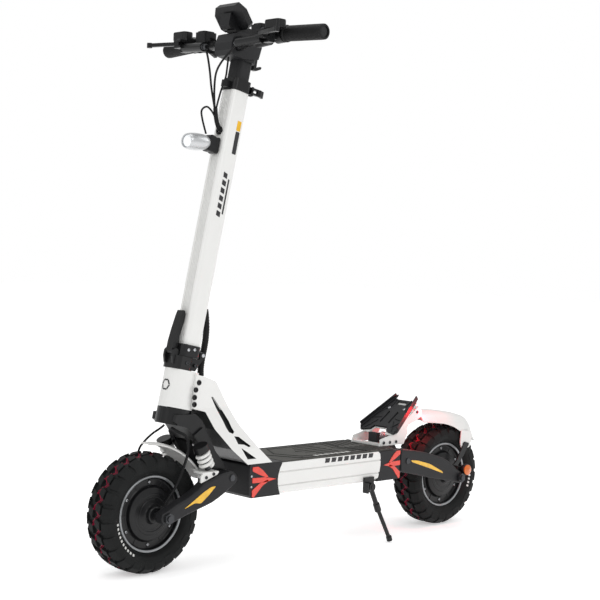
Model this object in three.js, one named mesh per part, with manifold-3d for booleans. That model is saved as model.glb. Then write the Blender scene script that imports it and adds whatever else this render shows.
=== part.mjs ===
// Electric kick scooter with two hub motors, sprung swing arms and a folding stem.
// Frame: millimetres, +X forward, +Y to the rider's left, +Z up. The origin lies on the ground,
// under the middle of the scooter's outline, in its plane of symmetry.
import * as THREE from 'three';
import * as BufferGeometryUtils from 'three/addons/utils/BufferGeometryUtils.js';
import Module from 'manifold-3d';

const wasm = await Module();
wasm.setup();

// ---------------------------------------------------------------- driving dimensions

const FRONT_AXLE_X = 470;
const REAR_AXLE_X = -463;
const TYRE_R = 127.5;
const TYRE_HALF_WIDTH = 42;
const RIM_R = 81.7;
const RIM_HALF_WIDTH = 27;
const AXLE_R = 7;

const DECK_TOP = 221;
const DECK_BOTTOM = 147;
const DECK_HALF_WIDTH = 88;
const DECK_FRONT = 252;
const DECK_REAR = -230;
const SHELL_FRONT = 170;
const SHELL_REAR = -156;
const MAT_THICKNESS = 4;

const RAKE = THREE.MathUtils.degToRad(11.7);
const COLUMN_FOOT = new THREE.Vector3(439, 0, TYRE_R);
const HEAD_R = 37;
const NECK_HALF_WIDTH = 43;
const HEAD_BOTTOM = 220.5;
const HEAD_TOP = 302.3;
const STEERER_R = 15;
const FOLD_SPLIT = 331;
const FOLD_TOP = 357;
const STEM_HALF = 23;
const STEM_WALL = 3;
const STEM_TOP = 920;
const INNER_HALF = 19.4;
const INNER_FOOT = 760;
const HEAD_BLOCK_BOTTOM = 988;
const FOLD_PIVOT = [-31, 341];
const LATCH_PIVOT = [39, 337];
const CLAMP_PIVOT = [-33, 16];
const HOOK_PIVOT = [-22, 1015];

const BAR_CENTRE = new THREE.Vector3(270, 0, 1130);
const BAR_HALF_LENGTH = 258;
const BAR_R = 11;
const BAR_SLEEVE_R = 15.9;
const GRIP_R = 16.5;
const GRIP_INNER_Y = 151;

const ARM_INNER_Y = 55;
const ARM_OUTER_Y = 84;
const FRONT_PIVOT = [298, 196];
const REAR_PIVOT = [-264, 186];
const PIVOT_PIN_R = 7;
const SPRING_FOOT = [350, 62, 221];
const SPRING_TOP = [366, 62, 254];

const GAP = 0.3;

// ---------------------------------------------------------------- solids and placement

function bareCopy(geometry) {
  const bare = geometry.clone();
  bare.deleteAttribute('normal');
  bare.deleteAttribute('uv');
  return bare;
}

function toSolid(geometry) {
  const merged = BufferGeometryUtils.mergeVertices(bareCopy(geometry), 1e-4);
  const triVerts = new Uint32Array(merged.index.array);
  const vertProperties = new Float32Array(merged.attributes.position.array);
  return new wasm.Manifold(new wasm.Mesh({ numProp: 3, vertProperties, triVerts }));
}

function toGeometry(solid) {
  const { vertProperties, triVerts } = solid.getMesh();
  const geometry = new THREE.BufferGeometry();
  geometry.setAttribute('position', new THREE.BufferAttribute(vertProperties, 3));
  geometry.setIndex(new THREE.BufferAttribute(triVerts, 1));
  return geometry;
}

function join(...geometries) {
  return toGeometry(geometries.map(toSolid).reduce((a, b) => a.add(b)));
}

function cut(body, ...tools) {
  return toGeometry(tools.map(toSolid).reduce((a, b) => a.subtract(b), toSolid(body)));
}

function common(a, b) {
  return toGeometry(toSolid(a).intersect(toSolid(b)));
}

function outline(points) {
  return new THREE.Shape(points.map(([x, y]) => new THREE.Vector2(x, y)));
}

function roundedOutline(halfX, halfY, radius, steps = 3) {
  const shape = new THREE.Shape();
  shape.moveTo(halfX, -halfY + radius);
  shape.lineTo(halfX, halfY - radius);
  shape.absarc(halfX - radius, halfY - radius, radius, 0, Math.PI / 2);
  shape.absarc(-halfX + radius, halfY - radius, radius, Math.PI / 2, Math.PI);
  shape.absarc(-halfX + radius, -halfY + radius, radius, Math.PI, 1.5 * Math.PI);
  shape.absarc(halfX - radius, -halfY + radius, radius, 1.5 * Math.PI, 2 * Math.PI);
  return outline(shape.getPoints(steps).map((p) => [p.x, p.y]));
}

function extruded(shape, depth, curveSegments = 6) {
  return new THREE.ExtrudeGeometry(shape, { depth, bevelEnabled: false, curveSegments });
}

// An outline drawn in X and Z, carried from y0 to y1.
function sidePlate(points, y0, y1) {
  const shape = Array.isArray(points) ? outline(points) : points;
  const geometry = extruded(shape, y1 - y0);
  geometry.rotateX(Math.PI / 2);
  geometry.translate(0, y1, 0);
  return geometry;
}

// An outline drawn in Y and Z, carried from x0 to x1.
function frontPlate(points, x0, x1) {
  const shape = Array.isArray(points) ? outline(points) : points;
  const geometry = extruded(shape, x1 - x0);
  const turn = new THREE.Matrix4().makeBasis(
    new THREE.Vector3(0, 1, 0),
    new THREE.Vector3(0, 0, 1),
    new THREE.Vector3(1, 0, 0),
  );
  geometry.applyMatrix4(turn);
  geometry.translate(x0, 0, 0);
  return geometry;
}

// An outline drawn in X and Y, carried from z0 to z1.
function planPlate(points, z0, z1) {
  const shape = Array.isArray(points) ? outline(points) : points;
  const geometry = extruded(shape, z1 - z0);
  geometry.translate(0, 0, z0);
  return geometry;
}

function box(x0, x1, y0, y1, z0, z1) {
  const geometry = new THREE.BoxGeometry(x1 - x0, y1 - y0, z1 - z0);
  geometry.translate((x0 + x1) / 2, (y0 + y1) / 2, (z0 + z1) / 2);
  return geometry;
}

// A round bar between two points.
function rod(from, to, radius, sides = 16, endRadius = radius) {
  const a = new THREE.Vector3(...from);
  const b = new THREE.Vector3(...to);
  const geometry = new THREE.CylinderGeometry(endRadius, radius, a.distanceTo(b), sides);
  const turn = new THREE.Quaternion().setFromUnitVectors(
    new THREE.Vector3(0, 1, 0),
    b.clone().sub(a).normalize(),
  );
  geometry.applyQuaternion(turn);
  geometry.translate(...a.add(b).multiplyScalar(0.5).toArray());
  return geometry;
}

function crossRod(x, z, y0, y1, radius, sides = 16) {
  return rod([x, y0, z], [x, y1, z], radius, sides);
}

// A closed profile of [radius, y] pairs turned about the Y axis.
function turned(profile, segments) {
  const points = profile.map(([r, y]) => new THREE.Vector2(r, y));
  points.push(points[0].clone());
  return new THREE.LatheGeometry(points, segments);
}

// A round tube along a smooth curve through the points.
function tube(points, radius, steps, sides = 8) {
  const path = new THREE.CatmullRomCurve3(points.map((p) => new THREE.Vector3(...p)));
  return outwards(
    new THREE.ExtrudeGeometry(regularOutline(radius, sides), {
      steps,
      extrudePath: path,
      bevelEnabled: false,
    }),
  );
}

function regularOutline(radius, sides) {
  const turn = (2 * Math.PI) / sides;
  return outline(Array.from({ length: sides }, (_, i) => [
    radius * Math.cos(i * turn),
    radius * Math.sin(i * turn),
  ]));
}

// A body lofted through sections of equal count, each a list of [x, y, z] points. The cap is
// triangulated on the flat outline that the sections share.
function lofted(flatOutline, sections) {
  const flat = flatOutline.map(([a, b]) => new THREE.Vector2(a, b));
  const clockwise = THREE.ShapeUtils.isClockWise(flat);
  const cap = THREE.ShapeUtils.triangulateShape(flat, []);
  const count = flatOutline.length;
  const last = (sections.length - 1) * count;
  const index = [];
  for (let row = 0; row < last; row += count) {
    for (let i = 0; i < count; i += 1) {
      const a = row + i;
      const b = row + ((i + 1) % count);
      index.push(a, b, a + count);
      index.push(b, b + count, a + count);
    }
  }
  for (const triangle of cap) {
    const [a, b, c] = clockwise ? [...triangle].reverse() : triangle;
    index.push(c, b, a);
    index.push(last + a, last + b, last + c);
  }
  const geometry = new THREE.BufferGeometry();
  geometry.setAttribute('position', new THREE.Float32BufferAttribute(sections.flat(2), 3));
  geometry.setIndex(index);
  return outwards(geometry);
}

// Turns every face over when the body is inside out.
function outwards(geometry) {
  const indexed = geometry.index ? geometry : BufferGeometryUtils.mergeVertices(bareCopy(geometry), 1e-4);
  const position = indexed.attributes.position;
  const order = indexed.index.array;
  const corner = [new THREE.Vector3(), new THREE.Vector3(), new THREE.Vector3()];
  let volume = 0;
  for (let i = 0; i < order.length; i += 3) {
    corner.forEach((v, k) => v.fromBufferAttribute(position, order[i + k]));
    volume += corner[0].dot(corner[1].cross(corner[2]));
  }
  if (volume < 0) {
    for (let i = 0; i < order.length; i += 3) {
      [order[i], order[i + 1]] = [order[i + 1], order[i]];
    }
  }
  return indexed;
}

// Column coordinates: t forward, y to the left, s up the steering axis from axle height.
function columnMatrix() {
  const turn = new THREE.Matrix4().makeRotationY(-RAKE);
  return turn.setPosition(COLUMN_FOOT);
}

function toWorld(geometry) {
  return geometry.applyMatrix4(columnMatrix());
}

function toColumn(geometry) {
  return geometry.applyMatrix4(columnMatrix().invert());
}

// ---------------------------------------------------------------- materials and nodes

const FINISHES = {
  white: { color: 0xe6e7e4, roughness: 0.35, metalness: 0.1 },
  silver: { color: 0xd9dadb, roughness: 0.3, metalness: 0.6 },
  graphite: { color: 0x2e2f30, roughness: 0.5, metalness: 0.4 },
  black: { color: 0x17181a, roughness: 0.5, metalness: 0.3 },
  rubber: { color: 0x1b1b1b, roughness: 0.85, metalness: 0 },
  mat: { color: 0x4a4a47, roughness: 0.85, metalness: 0 },
  steel: { color: 0x9fa2a5, roughness: 0.35, metalness: 0.9 },
  red: { color: 0xd0200f, roughness: 0.25, metalness: 0 },
  battery: { color: 0x2d5a78, roughness: 0.6, metalness: 0 },
};

const scooter = new THREE.Group();
const column = new THREE.Group();
column.position.copy(COLUMN_FOOT);
column.rotation.y = -RAKE;
scooter.add(column);

function add(parent, name, geometry, finish) {
  const mesh = new THREE.Mesh(geometry, new THREE.MeshStandardMaterial(FINISHES[finish]));
  mesh.name = name;
  parent.add(mesh);
  return mesh;
}

// ---------------------------------------------------------------- deck

// The curved joint between the deck shell and an end cap, top to bottom.
function endArc(x, reach, rear) {
  const curve = new THREE.QuadraticBezierCurve(
    new THREE.Vector2(x, DECK_TOP - MAT_THICKNESS),
    new THREE.Vector2(x + reach, (DECK_TOP + DECK_BOTTOM) / 2),
    new THREE.Vector2(x + rear, DECK_BOTTOM),
  );
  return curve.getPoints(6).map((p) => [p.x, p.y]);
}

// Section of the extrusion in Y and Z, with two grooves along each side.
function deckSection(inset) {
  const w = DECK_HALF_WIDTH - inset;
  const low = DECK_BOTTOM + inset;
  const high = DECK_TOP - MAT_THICKNESS - inset;
  const groove = inset > 0 ? [] : [
    [w, 165], [w - 2.5, 167], [w, 169],
    [w, 195], [w - 2.5, 197], [w, 199],
  ];
  const right = [[w - 10, low], [w, low + 8], ...groove, [w, high - 4], [w - 4, high]];
  const left = right.map(([y, z]) => [-y, z]).reverse();
  return [...right, ...left];
}

function deckShell() {
  const front = endArc(SHELL_FRONT - 14, 22, 4);
  const rear = endArc(SHELL_REAR - 3, -10, 8);
  const profile = sidePlate([...front, ...rear.reverse()], -DECK_HALF_WIDTH, DECK_HALF_WIDTH);
  const bar = common(profile, frontPlate(deckSection(0), SHELL_REAR - 20, SHELL_FRONT + 20));
  return cut(bar, frontPlate(deckSection(4), SHELL_REAR - 30, SHELL_FRONT + 30));
}

function deckMat() {
  const half = DECK_HALF_WIDTH - 5;
  const points = [
    [SHELL_FRONT - 18, -half], [SHELL_FRONT - 18, half],
    [DECK_REAR + 24, half], [DECK_REAR + 6, half - 14], [DECK_REAR + 6, 14 - half], [DECK_REAR + 24, -half],
  ];
  return planPlate(points, DECK_TOP - MAT_THICKNESS + GAP, DECK_TOP);
}

function deckFrontCap() {
  const rear = endArc(SHELL_FRONT - 14 + GAP, 22, 4);
  const top = DECK_TOP;
  const profile = [
    ...rear, [DECK_FRONT - 6, DECK_BOTTOM], [DECK_FRONT, DECK_BOTTOM + 6],
    [DECK_FRONT, top - 4], [DECK_FRONT - 4, top],
    [SHELL_FRONT - 14 + GAP, top],
  ];
  const block = sidePlate(profile, -DECK_HALF_WIDTH, DECK_HALF_WIDTH);
  const hollow = frontPlate(deckSection(7), SHELL_FRONT - 30, DECK_FRONT - 12);
  const cableHole = crossRod(0, 0, 0, 30, 12).rotateX(Math.PI / 2);
  cableHole.translate(214, 0, DECK_TOP - 15);
  return cut(block, hollow, cableHole);
}

function deckRearCap() {
  const front = endArc(SHELL_REAR - 3 - GAP, -10, 8);
  const top = DECK_TOP - MAT_THICKNESS;
  const profile = [
    [DECK_REAR + 4, DECK_BOTTOM], [DECK_REAR, DECK_BOTTOM + 4], [DECK_REAR, top - 2],
    [DECK_REAR + 2, top], ...front,
  ];
  const block = sidePlate(profile, -DECK_HALF_WIDTH, DECK_HALF_WIDTH);
  const hollow = frontPlate(deckSection(7), DECK_REAR + 10, SHELL_REAR + 20);
  const lugs = [-1, 1].map((side) => rearPivotLug(side));
  const springPost = box(DECK_REAR - 6, DECK_REAR + 5, -14, 14, 200, 248);
  return join(cut(join(block, ...lugs), hollow), springPost);
}

function rearPivotLug(side) {
  const [x, z] = REAR_PIVOT;
  const inner = side > 0 ? 30 : -52;
  const web = box(x, DECK_REAR + 6, inner, inner + 22, z - 18, z + 18);
  const eye = crossRod(x, z, inner, inner + 22, 18);
  return cut(join(web, eye), crossRod(x, z, inner - 1, inner + 23, PIVOT_PIN_R + GAP));
}

function addDeck() {
  add(scooter, 'deck_shell', deckShell(), 'silver');
  add(scooter, 'deck_mat', deckMat(), 'mat');
  add(scooter, 'deck_front_cap', deckFrontCap(), 'graphite');
  add(scooter, 'deck_rear_cap', deckRearCap(), 'graphite');
  add(scooter, 'battery_pack', box(-135, 88, -70, 70, 152, 208), 'battery');
  add(scooter, 'motor_controller', box(94, 150, -55, 55, 152, 190), 'silver');
}

// ---------------------------------------------------------------- neck and headset

function neckWidths(inset) {
  const right = [[88, 221.5], [70, 254], [50, 300], [NECK_HALF_WIDTH, 345], [NECK_HALF_WIDTH, 440]];
  const trimmed = right.map(([y, z]) => [y - inset, z]);
  return [...trimmed, ...trimmed.map(([y, z]) => [-y, z]).reverse()];
}

function neckArm() {
  const side = [
    [378, 345], [346, 336.5], [322, 297], [289, 254], [258, 221.5],
    [187, 221.5], [213, 253], [262, 315], [318, 401], [349, 412], [372, 418],
  ];
  const inside = [
    [338, 331], [317, 297], [284, 255], [254, 215], [193, 215],
    [219, 252], [268, 312], [321, 392], [338, 396],
  ];
  const outer = common(sidePlate(side, -90, 90), frontPlate(neckWidths(0), 180, 400));
  const inner = common(sidePlate(inside, -90, 90), frontPlate(neckWidths(6), 180, 400));
  return cut(outer, inner);
}

function neckWindows() {
  const slot = [
    [330, 368], [324, 368], [298, 336], [282, 313], [271, 290],
    [276, 286], [286, 290], [297, 312], [313, 339],
  ];
  const kite = [[274, 281], [262, 279], [234, 258], [240, 256], [252, 262], [268, 264]];
  const wedge = [[262, 256], [229, 232], [254, 232]];
  return [slot, kite, wedge].map((points) => sidePlate(points, -95, 95));
}

function neckFrame() {
  const head = rod([0, 0, HEAD_BOTTOM], [0, 0, HEAD_TOP], HEAD_R, 40);
  const bore = rod([0, 0, HEAD_BOTTOM - 5], [0, 0, HEAD_TOP + 5], 25.4, 32);
  const body = join(neckArm(), toWorld(head));
  return cut(body, toWorld(bore), ...neckWindows());
}

function bearing(low) {
  const outer = rod([0, 0, low], [0, 0, low + 12], 25, 32);
  return cut(outer, rod([0, 0, low - 1], [0, 0, low + 13], STEERER_R + GAP, 32));
}

function addNeck() {
  add(scooter, 'neck_frame', neckFrame(), 'white');
  add(column, 'headset_bearing_lower', bearing(HEAD_BOTTOM + 5), 'steel');
  add(column, 'headset_bearing_upper', bearing(HEAD_TOP - 17), 'steel');
}

// ---------------------------------------------------------------- footrest, lights, kickstand

const FOOTREST_SLOPE = THREE.MathUtils.degToRad(35);
const FOOTREST_LENGTH = 129;

function footrestPlate() {
  const half = (x) => 64 + (x * 30) / FOOTREST_LENGTH;
  const points = [
    [0, -half(0) + 10], [-8, -26], [-20, -22], [-20, 22], [-8, 26], [0, half(0) - 10],
    [-10, half(-10)], [-FOOTREST_LENGTH, half(-FOOTREST_LENGTH)],
    [-FOOTREST_LENGTH + 7, half(-FOOTREST_LENGTH) - 8], [-FOOTREST_LENGTH + 7, 8 - half(-FOOTREST_LENGTH)],
    [-FOOTREST_LENGTH, -half(-FOOTREST_LENGTH)], [-10, -half(-10)],
  ];
  const plate = planPlate(points, 0, 5);
  const slots = [-14, 14].map((y) => (
    planPlate([[-36, y - 3], [-32, y + 3], [-74, y + 3], [-78, y - 3]], -1, 6)
  ));
  const catchSlot = planPlate([[-104, -16], [-104, 16], [-116, 16], [-116, -16]], -1, 6);
  return cut(plate, ...slots, catchSlot);
}

function footrestFrame() {
  const side = [
    [-200, 221.5], [-286, 221.5], [-292, 236], [-299, 248], [-296, 259], [-303, 269],
    [-326, 275], [-350, 287], [-348, 300], [-337, 311], [-246, 247], [-206, 238],
  ];
  const plates = [[44, 48], [-48, -44]].map(([a, b]) => sidePlate(side, a, b));
  const waist = sidePlate([[-330, 300], [-340, 304], [-337, 311], [-328, 304.6]], -45, 45);
  const tie = box(-220, -202, -45, 45, 221.5, 226);
  return join(...plates, waist, tie);
}

function tailLight() {
  const lens = [[-314, 268], [-322, 266], [-330, 272], [-330, 286], [-318, 284], [-308, 276]];
  return sidePlate(lens, -34, 34);
}

function addFootrest() {
  const plate = add(scooter, 'footrest_plate', footrestPlate(), 'graphite');
  plate.position.set(-240, 0, 247);
  plate.rotation.y = FOOTREST_SLOPE;
  add(scooter, 'footrest_frame', footrestFrame(), 'white');
  add(scooter, 'tail_light', tailLight(), 'red');
}

const STAND_PIVOT = [-119, 101, 139];

function kickstandBracket() {
  const [x, y, z] = STAND_PIVOT;
  const plate = box(x - 17, x + 15, DECK_HALF_WIDTH + GAP, 94, z - 14, z + 22);
  const stop = box(x + 11, x + 15, 93, y + 4, z - 14, z + 10);
  return join(plate, stop, rod([x, 93, z], [x, y + 6, z], 5, 16));
}

function kickstandLeg() {
  const [x, y, z] = STAND_PIVOT;
  const knee = [x - 22, y + 1, z - 50];
  const foot = [x - 66, y + 3, 10];
  const hub = cut(
    join(rod([x, 95, z], [x, y + 5, z], 10, 16), rod([x, y, z - 4], knee, 6, 10)),
    rod([x, 90, z], [x, y + 10, z], 5.3, 16),
  );
  return join(
    hub,
    rod([knee[0] + 4, knee[1], knee[2] + 9], [knee[0] - 4, knee[1], knee[2] - 9], 8, 10),
    rod(knee, foot, 5, 10),
    rod([foot[0] + 2, foot[1], foot[2] + 5], [foot[0] - 2, foot[1], foot[2] - 5], 7, 10),
  );
}

function addKickstand() {
  add(scooter, 'kickstand_bracket', kickstandBracket(), 'black');
  add(scooter, 'kickstand_leg', kickstandLeg(), 'black');
}

function addChargePort() {
  const cap = join(
    rod([0, 0, 0], [0, -5, 0], 13, 20),
    box(-3, 3, -4, 0, 10, 19),
  );
  const mesh = add(scooter, 'charge_port_cap', cap, 'rubber');
  mesh.position.set(110, -DECK_HALF_WIDTH - GAP, 183);
}

// ---------------------------------------------------------------- fork and folding joint

function forkYoke() {
  const drum = rod([0, 0, 184], [0, 0, HEAD_BOTTOM - 0.7], HEAD_R, 32);
  const steerer = rod([0, 0, 200], [0, 0, FOLD_SPLIT - 0.5], STEERER_R, 24);
  const casting = [
    [10, 184], [24, 190], [24, 206], [-28, 215], [-48, 205], [-64, 188], [-84, 165], [-90, 150],
    [-40, 160], [-14, 184],
  ];
  const leg = [
    [-30, 170], [-52, 144], [-84, 118], [-106, 98], [-110, 84], [-124, 78], [-138, 84], [-142, 100],
    [-127, 123], [-96, 146], [-74, 172], [-50, 190],
  ];
  const legs = [[31, 45], [-45, -31]].map(([a, b]) => sidePlate(leg, a, b));
  const eyes = [[31, 54], [-54, -31]].map(([a, b]) => crossRod(...FRONT_PIVOT, a, b, 15, 20));
  const seats = [1, -1].map((side) => springSeat(side));
  const pin = toColumn(crossRod(FRONT_PIVOT[0], FRONT_PIVOT[1], -60, 60, PIVOT_PIN_R + GAP));
  const fork = join(drum, steerer, sidePlate(casting, -40, 40), ...legs, ...seats, ...eyes.map(toColumn));
  return cut(fork, pin);
}

function springSeat(side) {
  const [x, y, z] = mirrored(SPRING_TOP, side);
  const seat = rod([x + 1, y, z + 2], [x + 7, y, z + 15], 17, 20);
  const web = box(-62, -42, Math.min(side * 38, y), Math.max(side * 38, y), 149, 156);
  return join(toColumn(seat), web);
}

function foldBase() {
  const plan = [
    [38, -14], [38, 14], [34, 23], [26, 26], [0, 24], [-12, 17],
    [-18, 6], [-18, -6], [-12, -17], [0, -24], [26, -26], [34, -23],
  ];
  const block = planPlate(plan, HEAD_TOP + GAP, FOLD_SPLIT);
  const [t, s] = FOLD_PIVOT;
  const [latchT, latchS] = LATCH_PIVOT;
  const web = [
    [-37.5, 338], [-18, 304.6], [-4, 304.6], [-4, FOLD_SPLIT], [-24.5, FOLD_SPLIT], [-25, 341],
  ];
  const lugs = [[12, 22], [-22, -12]].map(([a, b]) => join(
    sidePlate(web, a, b),
    crossRod(t, s, a, b, 7.5, 20),
  ));
  const cheeks = [[10.4, 16], [-16, -10.4]].map(([a, b]) => (
    sidePlate([[31, 312], [41, 312], [46, 326], [46, 339], [42, 344], [34, 344], [31, 338]], a, b)
  ));
  const latchPin = crossRod(latchT, latchS, -12, 12, 3, 12);
  const holes = [
    rod([0, 0, 300], [0, 0, 340], STEERER_R + GAP, 24),
    crossRod(t, s, -30, 30, 4.3, 16),
  ];
  return cut(join(block, ...lugs, ...cheeks, latchPin), ...holes);
}

function stemFoot() {
  const block = planPlate(roundedOutline(26.5, 27, 12), FOLD_SPLIT + 0.6, FOLD_TOP);
  block.translate(3.5, 0, 0);
  const [t, s] = FOLD_PIVOT;
  const knuckle = join(
    sidePlate([[t - 5, s + 6], [t, s - 8], [-20, 333], [-20, 354]], -11.5, 11.5),
    crossRod(t, s, -11.5, 11.5, 8.5, 20),
  );
  const spigot = planPlate(roundedOutline(19.6, 19.6, 10), FOLD_TOP - 2, FOLD_TOP + 30);
  const cableHole = rod([0, 0, 320], [0, 0, FOLD_TOP + 40], STEERER_R, 24);
  return cut(join(block, knuckle, spigot), cableHole, crossRod(t, s, -30, 30, 4.3, 16));
}

function latchLever() {
  const [t, s] = LATCH_PIVOT;
  const side = [
    [33, s], [31, 350], [30.8, 360], [32, 372], [29.5, 390], [27, 404], [27, 420], [30, 427],
    [35, 427], [38, 415], [43, 382], [45.5, 357], [45.5, s],
  ];
  const blade = join(sidePlate(side, -10, 10), crossRod(t, s, -10, 10, 5.6, 16));
  return cut(blade, crossRod(t, s, -14, 14, 3.3, 12));
}

function addColumn() {
  add(column, 'fork_yoke', forkYoke(), 'black');
  add(column, 'fold_base', foldBase(), 'black');
  const [t, s] = FOLD_PIVOT;
  add(column, 'fold_hinge_pin', crossRod(t, s, -24, 24, 4, 12), 'steel');
  add(column, 'latch_lever', latchLever(), 'black');
}

// ---------------------------------------------------------------- stem

function stemTube() {
  const outer = roundedOutline(STEM_HALF, STEM_HALF, 12, 4);
  const inner = roundedOutline(STEM_HALF - STEM_WALL, STEM_HALF - STEM_WALL, 10, 4);
  return cut(
    planPlate(outer, FOLD_TOP + GAP, STEM_TOP),
    planPlate(inner, FOLD_TOP - 5, STEM_TOP + 5),
    rod([15, 0, 827], [40, 0, 827], 8, 12),
  );
}

function innerTube() {
  const outer = planPlate(roundedOutline(INNER_HALF, INNER_HALF, 9), INNER_FOOT, HEAD_BLOCK_BOTTOM - GAP);
  return cut(outer, planPlate(roundedOutline(16.4, 16.4, 7), INNER_FOOT - 5, HEAD_BLOCK_BOTTOM + 5));
}

function heightClamp() {
  const ring = planPlate(roundedOutline(24.5, 24.5, 12, 4), STEM_TOP + GAP, 946);
  const ear = box(20, 38, -7, 7, 923, 938);
  const lugs = [[3.5, 8.5], [-8.5, -3.5]].map(([a, b]) => box(-40, -20, a, b, 922, 942));
  const bore = planPlate(roundedOutline(INNER_HALF + GAP, INNER_HALF + GAP, 9.3), 900, 970);
  const slit = box(-50, -10, -2, 2, 900, 970);
  const [t, y] = CLAMP_PIVOT;
  const bolt = rod([t, -13, 931], [t, y, 931], 2.6, 12);
  const pin = rod([t, y, 921], [t, y, 941], 3, 12);
  return join(cut(join(ring, ear, ...lugs), bore, slit), bolt, pin);
}

function heightClampLever() {
  const [t, y] = CLAMP_PIVOT;
  const cheeks = [[923.5, 927.8], [934.2, 938.5]].map(([a, b]) => join(
    rod([t, y, a], [t, y, b], 6.5, 16),
    planPlate([[t, y - 6], [t, y + 6], [-45, 23.8], [-45, 17.4]], a, b),
  ));
  const handle = [[-43, 17.4], [-43, 23.6], [-50, 25], [-62, 21], [-62, 15], [-50, 19]];
  const blade = planPlate(handle, 923.5, 938.5);
  return cut(join(...cheeks, blade), rod([t, y, 910], [t, y, 950], 3.3, 12));
}

const LAMP = new THREE.Vector3(355, 0, 913);

function headlight() {
  const profile = [
    [0, 31], [14, 31], [19, 27], [21.5, 16], [22, 0], [20, -14], [15, -25], [0, -25],
  ];
  const points = profile.map(([r, y]) => new THREE.Vector2(r, y)).reverse();
  const shell = new THREE.LatheGeometry(points, 24);
  shell.rotateZ(-Math.PI / 2);
  shell.scale(1, 1, 0.84);
  shell.translate(...LAMP.toArray());
  const front = STEM_HALF + GAP;
  const arm = sidePlate(
    [[front, 774], [34, 772], [44, 780], [60, 784], [60, 798], [44, 806], [front, 810]],
    -11, 11,
  );
  return join(outwards(shell), toWorld(arm));
}

function addStem() {
  add(column, 'stem_foot', stemFoot(), 'black');
  add(column, 'stem_tube', stemTube(), 'white');
  add(column, 'inner_tube', innerTube(), 'graphite');
  add(column, 'height_clamp', heightClamp(), 'black');
  add(column, 'height_clamp_lever', heightClampLever(), 'black');
  add(scooter, 'headlight', headlight(), 'silver');
}

// ---------------------------------------------------------------- handlebar and controls

// Half the bar's centre line from the middle outwards, as [y, x, z].
const BAR_SWEEP = [
  [0, 270, 1130], [50, 268, 1131], [100, 256, 1139], [GRIP_INNER_Y, 247, 1144], [BAR_HALF_LENGTH, 239, 1140],
];

function barPath() {
  const left = BAR_SWEEP.map(([y, x, z]) => [x, y, z]);
  const right = left.slice(1).map(([x, y, z]) => [x, -y, z]).reverse();
  return [...right, ...left];
}

function barPoint(y) {
  const side = Math.abs(y);
  const upper = Math.max(1, BAR_SWEEP.findIndex(([at]) => at >= Math.min(side, BAR_HALF_LENGTH)));
  const [y0, x0, z0] = BAR_SWEEP[upper - 1];
  const [y1, x1, z1] = BAR_SWEEP[upper];
  const share = (side - y0) / (y1 - y0);
  return [x0 + share * (x1 - x0), y, z0 + share * (z1 - z0)];
}

const BAR_STEPS = 14;

// The hole that a part clamped on the bar leaves for it.
function barBore() {
  return tube(barPath(), BAR_R + GAP, BAR_STEPS, 12);
}

function handlebar() {
  const sleeve = rod([BAR_CENTRE.x, -34, BAR_CENTRE.z], [BAR_CENTRE.x, 34, BAR_CENTRE.z], BAR_SLEEVE_R, 24);
  const cones = [1, -1].map((side) => (
    rod([BAR_CENTRE.x, side * 33, BAR_CENTRE.z], barPoint(side * 52), BAR_SLEEVE_R, 24, BAR_R)
  ));
  return join(tube(barPath(), BAR_R, BAR_STEPS, 12), sleeve, ...cones);
}

function grip(side) {
  const from = barPoint(side * GRIP_INNER_Y);
  const sleeve = join(
    rod(from, barPoint(side * (BAR_HALF_LENGTH + 2)), GRIP_R, 20),
    rod(from, barPoint(side * (GRIP_INNER_Y + 5)), GRIP_R + 1.5, 20),
  );
  return cut(sleeve, barBore());
}

function stemHead() {
  const side = [
    [-24, 1000], [18, HEAD_BLOCK_BOTTOM], [50, HEAD_BLOCK_BOTTOM], [57, 998], [59, 1014], [55, 1034],
    [40, 1042], [8, 1046], [-20, 1044], [-27, 1028],
  ];
  const collar = planPlate(roundedOutline(24, 24, 11), HEAD_BLOCK_BOTTOM, 1010);
  const bore = toColumn(crossRod(BAR_CENTRE.x, BAR_CENTRE.z, -40, 40, BAR_SLEEVE_R + GAP, 24));
  const [t, s] = HOOK_PIVOT;
  const hookRoom = join(
    crossRod(t, s, -5.6, 5.6, 11.6, 20),
    box(-60, t, -5.6, 5.6, s - 11.6, s + 11.6),
    box(-60, t - 4, -5.6, 5.6, 970, s),
  );
  const boss = crossRod(t, s, -15, 15, 14, 24);
  return cut(join(sidePlate(side, -28, 28), collar, boss), bore, hookRoom);
}

// The console's face runs from its lower rear edge up and forward.
const CONSOLE_LOW = [244, 1170];
const CONSOLE_HIGH = [278, 1218];

function displayConsole() {
  const length = Math.hypot(CONSOLE_HIGH[0] - CONSOLE_LOW[0], CONSOLE_HIGH[1] - CONSOLE_LOW[1]);
  const tilt = Math.atan2(CONSOLE_HIGH[1] - CONSOLE_LOW[1], CONSOLE_HIGH[0] - CONSOLE_LOW[0]);
  const face = [
    [0, -36], [8, -46], [length - 18, -46], [length, -32],
    [length, 32], [length - 18, 46], [8, 46], [0, 36],
  ];
  const tray = planPlate(face, -15, 0);
  tray.rotateY(-tilt);
  tray.translate(CONSOLE_LOW[0], 0, CONSOLE_LOW[1]);
  const neck = [[258, 1162], [284, 1162], [292, 1170], [286, 1196], [266, 1182], [258, 1170]];
  const base = [[-18, 1046.4], [10, 1046.4], [42, 1042.4], [46, 1050], [44, 1062], [-10, 1062]];
  return join(toColumn(tray), toColumn(sidePlate(neck, -16, 16)), sidePlate(base, -16, 16));
}

const CYLINDER_INNER = [300, 57, 1126];
const CYLINDER_OUTER = [295, 129, 1130];
const LEVER_PIVOT = [303, 140];
const LEVER_LOW = 1134;
const LEVER_HIGH = 1142;

function mirrored([x, y, z], side) {
  return [x, side * y, z];
}

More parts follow.
